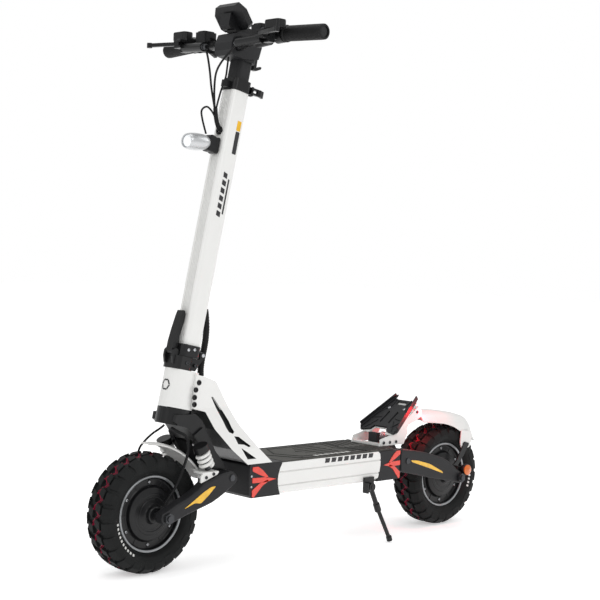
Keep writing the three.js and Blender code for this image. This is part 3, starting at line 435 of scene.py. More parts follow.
def add_bolt(bm, at, direction, radius, height=2.4):
    """A button-head screw with a hexagon socket."""
    inner = radius * 0.48
    profile = [
        (inner, height * 0.35), (inner, height), (radius * 0.72, height), (radius * 0.93, height * 0.7),
        (radius, height * 0.3), (radius, -0.6), (0.01, -0.6), (0.01, height * 0.35),
    ]
    add_turned(bm, profile, at, direction, 12)


def bolts(name, spots, direction, radius, finish, body, height=2.4):
    bm = bmesh.new()
    for spot in spots:
        add_bolt(bm, spot, direction, radius, height)
    return piece(name, bm, finish, body, smooth=50)


def both_sides(build):
    """Calls build for the left side, 1, and the right side, -1."""
    for side, word in ((1, "left"), (-1, "right")):
        build(side, word)


# ------------------------------------------------------------------ finishes of the CAD nodes

CAD_FINISH = {
    "white": "deck_shell footrest_frame",
    # the neck frame's white paint carries painted shade on its low forward and inner faces
    "neck_white_with_painted_shade": "neck_frame",
    "graphite": "deck_front_cap deck_rear_cap footrest_plate inner_tube front_arm_left front_arm_right"
                " rear_arm stem_head",
    "black_metal": "kickstand_bracket kickstand_leg fork_yoke fold_base latch_lever stem_foot"
                   " height_clamp height_clamp_lever fold_hook handlebar brake_perch_left"
                   " brake_perch_right brake_lever_left brake_lever_right",
    "black_plastic": "display_console switch_pod throttle_pod throttle_paddle",
    "rubber": "charge_port_cap light_button",
    "mat_rubber": "deck_mat",
    "red_lens": "horn_button",
    "tail_glow": "tail_light",
    "dark_steel": "front_axle rear_axle front_pivot_pin rear_pivot_pin",
    "steel": "headset_bearing_lower headset_bearing_upper fold_hinge_pin",
    "silver": "motor_controller",
    "battery_wrap": "battery_pack",
}
BEVEL_WIDTH = {
    "deck_mat": 1.2, "deck_front_cap": 2.0, "deck_rear_cap": 2.0, "neck_frame": 1.0, "fork_yoke": 1.6,
    "fold_base": 1.4, "stem_foot": 1.4, "stem_head": 1.8, "display_console": 2.2, "switch_pod": 3,
    "throttle_pod": 3, "brake_perch_left": 1.6, "brake_perch_right": 1.6,
    "footrest_plate": 0.8, "footrest_frame": 0.6,
}


def dress_cad_nodes():
    for finish, names in CAD_FINISH.items():
        for name in names.split():
            node = nodes_of_cad[name]
            node.data.materials.clear()
            node.data.materials.append(MATERIALS[finish])
            for face in node.data.polygons:
                face.use_smooth = True
            node.data.set_sharp_from_angle(angle=math.radians(32))
            add_bevel(node, BEVEL_WIDTH.get(name, 0.7), limit=32)


# ------------------------------------------------------------------ wheels

CARCASS = [
    (78.2, 18.8), (82.6, 27.8), (90, 36.2), (99, 39.8), (107, 39.4), (114, 36.2), (119, 29), (121, 18),
    (121.6, 0),
]
CARCASS_PATH = smooth_path([(r, y, 0) for r, y in CARCASS], 6)


def carcass_lengths():
    found = [0.0]
    for a, b in zip(CARCASS_PATH, CARCASS_PATH[1:]):
        found.append(found[-1] + (b - a).length)
    return found


CARCASS_LENGTHS = carcass_lengths()


def on_carcass(centre, angle, across, height):
    """A point on the tyre: an angle round it, a distance from the crown, a height above the rubber."""
    left = CARCASS_LENGTHS[-1] - min(abs(across), CARCASS_LENGTHS[-1] - 0.01)
    i = max(k for k, length in enumerate(CARCASS_LENGTHS[:-1]) if length <= left)
    a, b = CARCASS_PATH[i], CARCASS_PATH[i + 1]
    spot = a.lerp(b, (left - CARCASS_LENGTHS[i]) / (b - a).length)
    along = (b - a).normalized()
    radius = spot.x - height * along.y
    y = spot.y + height * along.x
    sign = 1 if across >= 0 else -1
    return centre + Vector((radius * math.cos(angle), sign * y, radius * math.sin(angle)))


def add_tread_block(bm, centre, angles, across, heights, skew=0.0, taper=0.012):
    """A rubber block on the carcass between two angles and two distances from the crown."""
    layers = []
    for level in (0, 1):
        grid = []
        for i in range(3):
            u = i / 2
            pull = taper * (1 if level else 0)
            row = []
            for k in range(3):
                v = k / 2
                s0 = across[0] + (across[1] - across[0]) * v
                shrink = 60 * pull * (1 - 2 * v) * (1 if across[1] > across[0] else -1)
                height = heights[0] + (heights[1] - heights[0]) * v
                a = angles[0] + pull + (angles[1] - angles[0] - 2 * pull) * u + skew * v
                row.append(bm.verts.new(
                    on_carcass(centre, a, s0 + shrink, height if level else -1.2)))
            grid.append(row)
        layers.append(grid)
    low, high = layers
    for i in range(2):
        for k in range(2):
            bm.faces.new((high[i][k], high[i + 1][k], high[i + 1][k + 1], high[i][k + 1]))
            bm.faces.new((low[i][k], low[i][k + 1], low[i + 1][k + 1], low[i + 1][k]))
        for k in (0, 2):
            bm.faces.new((low[i][k], low[i + 1][k], high[i + 1][k], high[i][k]))
            bm.faces.new((low[k][i], low[k][i + 1], high[k][i + 1], high[k][i]))


def make_tyre(end, centre):
    body = end + "_wheel"
    outer = [(p.x, p.y) for p in CARCASS_PATH]
    ribbed = [(r + 0.7 * (abs(r - 96.5) < 1.0), y + 0.5 * (abs(r - 90) < 1.2)) for r, y in outer]
    inner = [(84, 0), (84, 10), (80, 14)]
    profile = ribbed + [(r, -y) for r, y in reversed(ribbed[:-1])] + [(r, -y) for r, y in reversed(inner)]
    profile += inner[1:]
    bm = bmesh.new()
    add_turned(bm, profile, centre, (0, 1, 0), 120)
    piece(end + "_tyre_carcass", bm, end + "_tyre_rubber", body, smooth=50, cad=(end + "_tyre",))
    bm = bmesh.new()
    pitch = 2 * math.pi / PITCHES
    for k in range(PITCHES):
        for side in (1, -1):
            start = pitch * (k + (0.5 if side < 0 else 0))
            long_lug = k % 2 == 0
            add_tread_block(
                bm, centre, (start, start + 0.80 * pitch),
                (side * 23, side * (57 if long_lug else 51)), (5.6, 1.0), skew=side * 0.02)
            middle = start + 0.5 * pitch
            add_tread_block(
                bm, centre, (middle, middle + 0.62 * pitch), (side * 3.0, side * 19.5), (5.7, 5.8),
                skew=-side * 0.06)
    piece(end + "_tyre_tread", bm, end + "_tyre_rubber", body, bevel=0.7, smooth=40)
    bm = bmesh.new()
    first, count, step = (-8, 10, -5.6) if end == "front" else (184, 4, 5.6)
    for k in range(count):
        angle = math.radians(first + step * k)
        spots = [
            on_carcass(centre, angle + da, across, 0.55)
            for da, across in ((0, 57), (0.05, 57), (0.05, 62), (0, 62))]
        base = [
            on_carcass(centre, angle + da, across, -0.6)
            for da, across in ((0, 57), (0.05, 57), (0.05, 62), (0, 62))]
        fill_ring(bm, [[bm.verts.new(p) for p in base], [bm.verts.new(p) for p in spots]])
    piece(end + "_tyre_marks", bm, "pale_ink", body)


HUB_FACE = [
    (7.6, 44), (15.5, 44), (17.6, 42.8), (18.6, 40.5), (19.2, 35), (21, 32.4), (26, 31.2), (31, 31.0),
    (32, 30.2), (36, 30.0), (37, 30.6), (43, 30.2), (44, 29.2), (52, 28.2), (55.5, 26.6), (57.2, 23.4),
    (58.4, 18.8), (60.4, 17.2), (71.4, 17.0), (73.4, 18.2), (75.2, 21.5), (75.8, 25.2),
]
RIM_LIP = [(75.9, 24.8), (76.4, 27.2), (77.8, 28.3), (80.2, 28.3), (81.5, 27.2), (81.4, 24.6), (77.6, 17.8)]


def make_hub(end, centre):
    body = end + "_wheel"
    bm = bmesh.new()
    profile = HUB_FACE + [(r, -y) for r, y in reversed(HUB_FACE)]
    add_turned(bm, profile + [(7.6, -20), (7.6, 20)], centre, (0, 1, 0), 96)
    piece(end + "_hub_shell", bm, "black_metal", body, smooth=28, cad=(end + "_hub",))
    bm = bmesh.new()
    floor = [(r, -y) for r, y in reversed(RIM_LIP)]
    add_turned(bm, RIM_LIP + floor + [(75.9, -18), (75.9, 18)], centre, (0, 1, 0), 120)
    piece(end + "_rim", bm, "rim_silver", body, smooth=40)
    bm = bmesh.new()
    for side in (1, -1):
        for k in range(6):
            angle = math.radians(30 + 60 * k)
            spot = centre + Vector((66 * math.cos(angle), side * 17.2, 66 * math.sin(angle)))
            add_bolt(bm, spot, (0, side, 0), 3.3, 2.6)
    piece(end + "_hub_bolts", bm, "steel", body, smooth=50)
    bm = bmesh.new()
    for k in range(12):
        angle = 2 * math.pi * k / 12
        out = Vector((math.cos(angle), 0, math.sin(angle)))
        across = Vector((-out.z, 0, out.x))
        outline = [(59.6, -3.2), (71.6, -2.4), (71.6, 2.4), (59.6, 3.2)]
        for side in (1, -1):
            rings = [
                [bm.verts.new(centre + out * r + across * w + Vector((0, side * y, 0))) for r, w in outline]
                for y in (16.4, 18.4)]
            fill_ring(bm, rings)
    piece(end + "_hub_webs", bm, "black_metal", body, bevel=0.8)


def make_brake(end, centre, lead):
    """The disc on the right side of the wheel and the caliper on its arm. lead is the caliper's angle."""
    bm = bmesh.new()
    steps = 72
    hole_every = 6
    inner, outer = 50, 70
    add_turned(bm, [(inner, -1.1), (outer, -1.1), (outer, 1.1), (inner, 1.1)],
               centre + Vector((0, -37, 0)), (0, 1, 0), steps)
    for k in range(6):
        angle = 2 * math.pi * k / 6
        out = Vector((math.cos(angle), 0, math.sin(angle)))
        across = Vector((-out.z, 0, out.x))
        outline = [(19, -6), (34, -3.5), (51, -5), (51, 5), (34, 3.5), (19, 6)]
        rings = [
            [bm.verts.new(centre + out * r + across * (w + (r - 19) * 0.35) + Vector((0, y, 0)))
             for r, w in outline]
            for y in (-38.1, -35.9)]
        fill_ring(bm, rings)
    add_turned(bm, [(18.8, -1.1), (26, -1.1), (26, 1.1), (18.8, 1.1)],
               centre + Vector((0, -37, 0)), (0, 1, 0), 48)
    piece(end + "_brake_disc", bm, "brake_steel", end + "_wheel", smooth=30)
    bm = bmesh.new()
    for k in range(steps // hole_every * 2):
        angle = 2 * math.pi * k / (steps // hole_every * 2)
        radius = 56 if k % 2 else 64
        spot = centre + Vector((radius * math.cos(angle), -38.4, radius * math.sin(angle)))
        add_disc(bm, spot, spot + Vector((0, 2.8, 0)), 2.6, 12)
    piece(end + "_brake_disc_holes", bm, "ink", end + "_wheel", smooth=30)
    out = Vector((math.cos(lead), 0, math.sin(lead)))
    across = Vector((-out.z, 0, out.x))

    def place(radius, along, y):
        return centre + out * radius + across * along + Vector((0, y, 0))

    bm = bmesh.new()
    shell = rounded([(52, -24), (77, -26), (77, 26), (52, 24)], 6)
    add_prism(bm, shell, -54.5, -39.2, place)
    add_prism(bm, rounded([(54, -17), (73.5, -19), (73.5, 19), (54, 17)], 4), -34.8, -30, place)
    add_prism(bm, [(71.4, -15), (77, -15), (77, 15), (71.4, 15)], -41, -31, place)
    piece(end + "_brake_caliper", bm, "black_metal", end + "_suspension", bevel=1.4)


# ------------------------------------------------------------------ swing arms

FRONT_ARM = [
    (484, 133), (480, 138), (470, 141.5), (453, 149), (438, 156), (417, 164), (390, 178),
    (373, 191), (353, 197), (328, 206), (300, 211), (286, 203), (281, 194), (284, 186),
    (292, 180), (316, 165), (350, 148), (389, 137), (417, 129), (453, 117), (463, 114),
    (472, 113.6), (480, 117), (484, 124),
]
REAR_ARM = [
    (-240, 212), (-258, 214), (-314, 205), (-340, 199), (-378, 189), (-417, 173), (-450, 151),
    (-466, 141.3), (-475, 134), (-477, 127), (-474, 119), (-466, 114),
    (-456, 114.5), (-405, 126), (-348, 137), (-284, 152), (-246, 160), (-240, 170),
]
FRONT_FLASH = [
    (428, 142.5), (400, 152), (383, 150), (362, 166), (343, 183), (357, 182), (378, 172), (398, 160)]
REAR_FLASH = [(-275, 187), (-279, 182), (-330, 166), (-397, 144), (-392, 150), (-345, 172), (-300, 184)]


def make_arm(name, outline, flash, side, body, cad):
    y0, y1 = side * 55, side * ARM_FACE
    shape = smooth_outline(outline, 2)
    prism(name, shape, min(y0, y1), max(y0, y1), side_view, "graphite", body, bevel=4.2, segments=4,
          smooth=60, cad=cad)
    face = sorted((side * (ARM_FACE - 1.5), side * (ARM_FACE + 0.7)))
    prism(name + "_reflector", rounded(flash, 4), *face, side_view, "yellow_reflector", body, bevel=0.5)


def make_arms():
    both_sides(lambda side, word: make_arm(
        "front_swing_arm_" + word, FRONT_ARM, FRONT_FLASH, side, "front_suspension", ("front_arm_" + word,)))
    both_sides(lambda side, word: make_arm(
        "rear_swing_arm_" + word, REAR_ARM, REAR_FLASH, side, "rear_suspension", ("rear_arm",)))
    bm = bmesh.new()
    add_prism(bm, [(-316, 172), (-290, 172), (-290, 196), (-316, 196)], -56, 56, side_view)
    add_prism(bm, rounded([(-312, 190), (-292, 190), (-268, 226), (-266, 246), (-276, 246), (-282, 230)], 3),
              -12, 12, side_view)
    piece("rear_arm_tie", bm, "graphite", "rear_suspension", bevel=1.5)
    for centre, body in ((FRONT_WHEEL, "front_suspension"), (REAR_WHEEL, "rear_suspension")):
        for side in (1, -1):
            end = centre + Vector((0, side * 92, 0))
            bolts(f"{body}_axle_bolt_{'left' if side > 0 else 'right'}", [end], (0, side, 0), 5.5,
                  "steel", body, height=2.6)


# ------------------------------------------------------------------ springs

def coil(start, end, radius, wire, turns):
    """Points of a coil whose end turns lie flat."""
    axis = axis_matrix(start, end - start)
    length = (end - start).length
    steps = int(turns * 28)
    found = []
    for i in range(steps + 1):
        angle = 2 * math.pi * turns * i / steps
        share = min(1, max(0, (i / steps - 0.09) / 0.82))
        height = wire + (length - 2 * wire) * share
        found.append(axis @ Vector((radius * math.cos(angle), radius * math.sin(angle), height)))
    return found


def make_springs():
    def front(side, word):
        low = Vector((350, side * 62, 221))
        high = Vector((366, side * 62, 254))
        holds = ("front_suspension", "steering", low, high)
        bm = bmesh.new()
        add_sweep(bm, coil(low, high, 13, 4.0, 3.3), 4.0, 12)
        piece("front_coil_" + word, bm, "white_plastic", holds, smooth=60, cad=("front_spring_" + word,))
        bm = bmesh.new()
        add_sweep(bm, [low.lerp(high, u) for u in (-0.15, 0.1, 0.3, 0.6, 0.9, 1.1)], [7, 7, 7, 5, 5, 5], 20)
        piece("front_damper_" + word, bm, "dark_steel", holds, smooth=40)

    both_sides(front)
    start, end = Vector((-266, 0, 237)), Vector((-236.4, 0, 237))
    bm = bmesh.new()
    add_sweep(bm, coil(start, end, 8, 2.2, 4.5), 2.2, 10)
    piece("rear_coil", bm, "steel", ("rear_suspension", "chassis", start, end), smooth=60,
          cad=("rear_spring",))


# ------------------------------------------------------------------ cables

def cable(name, runs, finish, body, cad):
    bm = bmesh.new()
    for points, radius in runs:
        add_sweep(bm, smooth_path(points, 8), radius, 12)
    return piece(name, bm, finish, body, smooth=70, cad=cad)


def make_cables():
    trunk = [(309, 1, 989), (306, 0, 972), (302, 0, 957), (294.8, 0, 943.5)]
    left_hose = [
        (300, 55.6, 1126), (301, 42, 1114), (302, 10, 1090), (301, -10, 1066), (306, -8, 1028),
        (309, -1, 984)]
    right_hose = [
        (300, -55, 1126), (296, -49, 1112), (293, -42, 1077), (296, -30, 1035), (302, -12, 997),
        (308, 0, 978)]
    console_lead = [(286, 12, 1101), (290, 14, 1080), (294, 14, 1055), (302, 8, 1023), (308, 1, 984)]
    lamp_lead = [
        (332, 0, 932), (343, 0, 961), (346, 0, 981), (332, 0, 990), (317, 0, 981), (306, 0, 966)]
    runs = [(left_hose, 2.3), (right_hose, 2.3), (console_lead, 2.1), (lamp_lead, 2.1), (trunk, 4.8)]
    cable("control_cables", runs, "rubber", ("stem", "bar", Vector((296, 0, 945)), Vector((300, 0, 1085))),
          ("control_harness",))
    loom = [
        (-31, 441), (-36, 430), (-44, 404), (-48, 380), (-49, 358), (-48.6, 339), (-50, 316), (-54, 299)]
    path = smooth_path([column(t, 0, s) for t, s in loom], 14)
    holds = ("steering", "stem", column(-50, 0, 316), column(-36, 0, 430))
    bm = bmesh.new()
    add_sweep(bm, path, [7 + 0.55 * math.sin(i * 1.9) for i in range(len(path))], 16)
    piece("fold_loom", bm, "rubber", holds, smooth=70, cad=("fold_harness",))
    hose = [
        (411.5, -12, 306.5), (420, -16, 299), (433, -26, 287), (444, -39, 269), (450, -48.5, 250),
        (452, -49, 215), (445, -49, 175)]
    lead = [
        (418, 20, 304.5), (410, 33, 297), (399, 45, 289), (394, 49.5, 270), (398, 49, 240),
        (420, 48.5, 190), (450, 47.5, 150)]
    for name, points, radius, node in (
            ("brake_hose", hose, 2.3, "front_brake_hose"), ("motor_lead", lead, 3.1, "front_motor_lead")):
        holds = ("front_suspension", "steering", Vector(points[-1]), Vector(points[0]))
        cable(name, [(points, radius)], "rubber", holds, (node,))


# ------------------------------------------------------------------ stem

def make_stem():
    half, radius, flutes = 23, 11, 5
    kept = rounded([(-half, -half), (half, -half), (half, half), (-half, half)], radius, 8)
    groove = []
    for k in range(flutes):
        middle = -9.6 + 4.8 * k
        groove += [(half, middle - 1.8), (half - 2.2, middle - 0.9), (half - 2.2, middle + 0.9),
                   (half, middle + 1.8)]
    at = max(i for i, (t, y) in enumerate(kept) if t > 0 and y < 0) + 1
    outer = kept[:at] + groove + kept[at:]
    prism("stem_extrusion", outer, 357.3, 920, column, "white", "stem", smooth=25, cad=("stem_tube",))
    bm = bmesh.new()
    add_turned(bm, [(4.9, -1), (8.6, -1), (9.6, 1), (8.6, 3.6), (4.9, 4.2)],
               column(half, 0, 827), column(1, 0, 0) - column(0, 0, 0), 32)
    piece("stem_grommet", bm, "rubber", "stem", smooth=40)
    bm = bmesh.new()
    ahead = column(-1, 0, 0) - column(0, 0, 0)
    profile = [(0.01, 0), (9, 0), (9, 3), (7.4, 7), (4, 9.4), (0.01, 10)]
    add_turned(bm, profile, column(-half, 0, 905), ahead, 28)
    piece("stem_snap_knob", bm, "black_plastic", "stem", smooth=50)


def make_headlight():
    centre = Vector((355, 0, 913))
    shell = [
        (0.01, -25), (11, -25), (15, -24), (18, -19), (20.4, -12), (21.6, -3), (22, 6), (21.6, 16),
        (20.4, 24), (19, 28.5), (17.4, 30.6), (16.2, 29), (15.6, 24), (0.01, 22)]
    flat = Matrix.Translation(centre) @ Matrix.Scale(0.84, 4, (0, 0, 1)) @ Matrix.Translation(-centre)
    bm = bmesh.new()
    add_turned(bm, smooth_profile(shell), centre, (1, 0, 0), 56)
    bm.transform(flat)
    piece("headlight_shell", bm, "silver", "stem", smooth=50, cad=("headlight",))
    bm = bmesh.new()
    add_turned(bm, [(0.01, 23), (15.4, 23), (15.4, 26.5), (12, 28.2), (6, 29.4), (0.01, 29.8)],
               centre, (1, 0, 0), 48)
    bm.transform(flat)
    piece("headlight_lens", bm, "headlight_lens", "stem", smooth=50)
    arm = [(23.3, 774), (34, 772), (44, 780), (60, 784), (60, 798), (44, 806), (23.3, 810)]
    prism("headlight_arm", rounded(arm, 5), -11, 11, column_side, "black_metal", "stem", bevel=2.4)
    back = [(306, 905), (318, 893), (334, 896), (334, 922), (322, 932), (308, 926)]
    prism("headlight_back", rounded(back, 5), -12, 12, side_view, "black_plastic", "stem", bevel=3)


def smooth_profile(points, per=3):
    return [(p.x, p.y) for p in smooth_path([(r, h, 0) for r, h in points], per)]


# ------------------------------------------------------------------ deck

def make_deck_detail():
    bm = bmesh.new()
    low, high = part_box("deck_mat")
    x0, x1 = low.x / MM, high.x / MM
    half = high.y / MM
    level = (high.z / MM - 0.3, high.z / MM + 0.7)
    for inset, width in ((6, 6.0), (24, 3.4)):
        bay = [
            (x0 + 96 + inset, half - inset), (x1 - 60 - inset, half - inset), (x1 - 12 - 1.6 * inset, 0),
            (x1 - 60 - inset, -half + inset), (x0 + 96 + inset, -half + inset), (x0 + 112 + inset, 0)]
        add_strip(bm, bay, width, *level, plan_view, closed=True)
    for k in range(6):
        x = x0 + 6 + 17 * k
        for side in (1, -1):
            add_strip(bm, [(x, side * (half - 6)), (x + 14, side * 14)], 6.5, *level, plan_view)
    for k in range(5):
        y = -40 + 20 * k
        add_strip(bm, [(x0 + 160, y), (x1 - 120 - 14 * abs(k - 2), y)], 3.0, *level, plan_view)
    piece("deck_mat_ridges", bm, "mat_ridge", "chassis", bevel=0.3)
    bm = bmesh.new()
    for k in range(7):
        x = x0 + 150 + 17 * k
        outline = [(x, 58), (x + 10, 58), (x + 6, 70), (x - 4, 70)]
        add_prism(bm, outline, level[0], level[1] - 0.3, plan_view)
    piece("deck_mat_marks", bm, "pale_ink", "chassis")


CAP_PRONGS = [
    [(60, 31), (60, 22), (38, 12), (14, 3), (14, 7), (30, 22), (44, 31)],
    [(60, 7), (20, 6), (-10, 0), (20, -5), (60, -4)],
    [(60, -20), (60, -34), (55, -36), (30, -12), (12, -3), (16, 0), (38, -6)],
]


def make_cap_reflectors():
    def one(side, word):
        face = sorted((side * (DECK_SIDE - 1.2), side * (DECK_SIDE + 1.0)))
        for end, root, scale in (("front", 184, 1.0), ("rear", -181, -0.82)):
            bm = bmesh.new()
            for prong in CAP_PRONGS:
                outline = [(root + scale * along, 184 + rise) for along, rise in prong]
                add_prism(bm, rounded(outline, 1.4), *face, side_view)
            piece(f"{end}_cap_reflector_{word}", bm, "red_reflector", "chassis", bevel=0.5)
        spots = [Vector((246, side * DECK_SIDE, z)) for z in (195, 172)]
        bolts("cap_screws_" + word, spots, (0, side, 0), 2.6, "steel", "chassis", 1.2)

    both_sides(one)


# ------------------------------------------------------------------ neck and folding joint

NECK_BOLTS = [(365, 400), (373, 385), (376, 369), (376, 354)]


def make_neck_detail():
    def one(side, word):
        spots = [Vector((x, side * 43, z)) for x, z in NECK_BOLTS]
        bolts("neck_bolts_" + word, spots, (0, side, 0), 6.0, "black_metal", "chassis", 3.0)
        spots = [column(t, side * 25, s) for t, s in ((10, 318), (22, 341), (-14, 316))]
        bolts("fold_bolts_" + word, spots[::2], (0, side, 0), 4.2, "dark_steel", "steering", 2.2)
        spots = [column(t, side * 26.6, s) for t, s in ((14, 346), (-2, 349))]
        bolts("stem_foot_bolts_" + word, spots, (0, side, 0), 3.6, "steel", "stem", 1.6)

    both_sides(one)


# ------------------------------------------------------------------ controls

def make_console_detail():
    low, high = Vector((244, 0, 1170)), Vector((278, 0, 1218))
    u = (high - low).normalized()
    normal = Vector((-u.z, 0, u.x))
    length = (high - low).length

    def place(a, b, level):
        return low + u * a + Vector((0, b, 0)) + normal * level

    glass = [(9, -34), (14, -39), (length - 19, -39), (length - 6, -27), (length - 6, 27), (length - 19, 39),
             (14, 39), (9, 34)]
    prism("console_glass", rounded(glass, 3), -0.5, 0.8, place, "screen", "bar", bevel=0.5)
    bm = bmesh.new()
    for a, b, width in ((22, 0, 26), (36, -18, 10), (36, 18, 10)):
        add_prism(bm, rounded([(a - 4, b - width / 2), (a + 4, b - width / 2), (a + 4, b + width / 2),
                               (a - 4, b + width / 2)], 2), 0.6, 1.05, place)
    piece("console_digits", bm, "pale_ink", "bar")
    for side, word in ((1, "left"), (-1, "right")):
        plate = [(length - 21, side * 44), (length - 3, side * 32), (length - 6, side * 29),
                 (length - 23, side * 40)]
        prism("console_trim_" + word, plate, -6, 0.9, place, "silver", "bar", bevel=0.4)


def make_grips():
    sweep_rows = [(151, 247, 1144), (258, 239, 1140)]

    def one(side, word):
        a, b = (Vector((x, side * y, z)) for y, x, z in sweep_rows)
        b = a + (b - a) * 1.019
        length = (b - a).length
        rows = [(11.4, 0), (18, 0), (18.4, 1), (18.4, 4), (17.2, 5.4), (16.2, 6.4)]
        position = 8.0
        while position < length - 8:
            rows += [(16.3, position), (16.7, position + 0.8), (16.7, position + 2.2), (16.3, position + 3)]
            position += 4.0
        rows += [(16.5, length - 5), (16.3, length - 1.5), (14.8, length), (11.4, length)]
        bm = bmesh.new()
        add_turned(bm, rows, a, b - a, 48)
        piece("grip_sleeve_" + word, bm, "rubber", "bar", smooth=40, cad=("grip_" + word,))

    both_sides(one)


# ------------------------------------------------------------------ rear lamps and fittings

def make_rear_fittings():
    def one(side, word):
        lamp = Vector((-488, side * 78, 145))
        direction = (0, side, 0)
        bm = bmesh.new()
        profile = [(0.01, -4), (12.6, -4), (14.6, -1), (14.6, 6), (13.4, 8.4), (12.6, 8), (0.01, 8)]
        add_turned(bm, profile, lamp, direction, 36)
        piece("turn_signal_shell_" + word, bm, "black_plastic", "rear_suspension", smooth=40)
        bm = bmesh.new()
        add_turned(bm, [(0.01, 7), (13.2, 7), (12.8, 10.4), (9, 12.6), (0.01, 13.4)], lamp, direction, 36)
        piece("turn_signal_lens_" + word, bm, "amber_lens", "rear_suspension", smooth=50)

    both_sides(one)


# ------------------------------------------------------------------ neck shade sheets, mudguards, footrest

def make_neck_shade_sheets():
    """Dark sheets inside the neck, as painted shade for the dark that shows through its windows."""
    rows = [
        (224, 202, 256, 80.0), (254, 224, 281, 63.0), (300, 264, 316, 43.0), (345, 292, 330, 36.0),
        (390, 325, 336, 36.0)]

    def one(side, word):
        bm = bmesh.new()
        rings = []
        for z, x0, x1, y in rows:
            corners = [(x0, y), (x1, y), (x1, y - 2), (x0, y - 2)]
            rings.append([bm.verts.new(Vector((x, side * across, z))) for x, across in corners])
        fill_ring(bm, rings)
        # a graphite sheet standing in for the shade inside the neck
        piece("neck_shade_sheet_" + word, bm, "graphite", "chassis", smooth=30)

    both_sides(one)


def make_blade(name, stations, wheel, body, finish, cad, thickness=3.0, columns=14,
               power=3.2):
    """A mudguard swept over a wheel. A station is (x, z, half width, drop of the edge)."""
    smooth = smooth_path([(x, z, half) for x, z, half, _ in stations], 6)
    drops = smooth_path([(drop, 0, 0) for *_, drop in stations], 6)
    bm = bmesh.new()
    rings = []
    for i, spot in enumerate(smooth):
        before, after = smooth[max(i - 1, 0)], smooth[min(i + 1, len(smooth) - 1)]
        normal = Vector((before.y - after.y, after.x - before.x)).normalized()
        if normal.dot(Vector((spot.x - wheel.x, spot.y - wheel.z))) < 0:
            normal.negate()
        half, drop = spot.z, drops[i].x
        section = []
        for k in range(columns + 1):
            across = -1 + 2 * k / columns
            section.append((half * across, -drop * abs(across) ** power))
        under = [(y * (1 - thickness / half * 0.5), n - thickness) for y, n in reversed(section)]
        rings.append([
            bm.verts.new(Vector((spot.x + normal.x * n, y, spot.y + normal.y * n)))
            for y, n in section + under])
    fill_ring(bm, rings)
    return piece(name, bm, finish, body, smooth=50, cad=cad)


def make_front_mudguard():
    stations = []
    for k in range(9):
        share = k / 8
        angle = math.radians(90 + 66 * share)
        radius = 147 + 7 * share
        width = 0.4 + 0.6 * min(1, 1.6 * share)
        stations.append((
            FRONT_WHEEL.x + radius * math.cos(angle), FRONT_WHEEL.z + radius * math.sin(angle),
            37 * width, 9 * width * width))
    make_blade("front_mudguard", stations, FRONT_WHEEL, "front_suspension", "white_plastic",
               ("front_fender",))

    def one(side, word):
        seat = [(331, 18), (361, 18), (361, 46), (375, 46), (375, 78), (331, 78)]
        prism("spring_seat_" + word, [(x, side * y) for x, y in seat], 208.5, 213.4, plan_view,
              "white_plastic", "front_suspension", bevel=1.0)
        flange = [(333, 213.4), (333, 206.5), (380, 190.5), (380, 205), (372, 213.4)]
        face = sorted((side * 74, side * 78.4))
        prism("spring_seat_flange_" + word, rounded(flange, 3), *face, side_view, "white_plastic",
              "front_suspension", bevel=0.8)
        spots = [Vector((346, side * 78.4, 208)), Vector((366, side * 78.4, 202))]
        bolts("spring_seat_bolts_" + word, spots, (0, side, 0), 3.8, "dark_steel", "front_suspension", 2.4)

    both_sides(one)


def make_rear_mudguard():
    stations = [
        (-364, 290.5, 40, 20), (-390, 292.8, 42, 24), (-420, 293, 44, 27), (-450, 291, 45, 29),
        (-485, 286.5, 46, 34), (-515, 280, 45, 40), (-544, 271, 43, 40), (-564, 254, 38, 30),
        (-577, 236, 31, 17), (-595, 207, 20, 3)]
    make_blade("rear_mudguard", stations, REAR_WHEEL, "rear_suspension", "white_plastic", ("rear_fender",),
               columns=20, power=4.5)

    def one(side, word):
        face = sorted((side * 43.4, side * 46.4))
        tab = [(-508, 240), (-546, 236), (-550, 214), (-542, 194), (-512, 191), (-505, 206)]
        prism("mudguard_tab_" + word, rounded(tab, 5), *face, side_view, "white_plastic", "rear_suspension",
              bevel=0.6)
        spots = [Vector((-517, side * 46.4, 204)), Vector((-534, side * 46.4, 200))]
        bolts("mudguard_tab_bolts_" + word, spots, (0, side, 0), 3.6, "dark_steel", "rear_suspension", 2.0)
        face = sorted((side * 46, side * 49.6))
        stay = [(-538, 205), (-519, 210), (-505, 188), (-487, 160), (-466, 150), (-470, 143), (-492, 147),
                (-517, 176)]
        prism("mudguard_stay_" + word, rounded(stay, 4), *face, side_view, "black_metal", "rear_suspension",
              bevel=0.8)
        face = sorted((side * 46, side * 72))
        foot = [(-484, 140), (-484, 152), (-468, 154), (-464, 142)]
        prism("mudguard_foot_" + word, rounded(foot, 3), *face, side_view, "black_metal", "rear_suspension",
              bevel=1.0)

    both_sides(one)


FOOTREST_CORNER = Vector((-240, 0, 247))
FOOTREST_SLOPE = math.radians(35)


def on_footrest(along, across, rise):
    """A point on the footrest: along is forward, down its slope."""
    return FOOTREST_CORNER + Vector((
        along * math.cos(FOOTREST_SLOPE) + rise * math.sin(FOOTREST_SLOPE), across,
        rise * math.cos(FOOTREST_SLOPE) - along * math.sin(FOOTREST_SLOPE)))


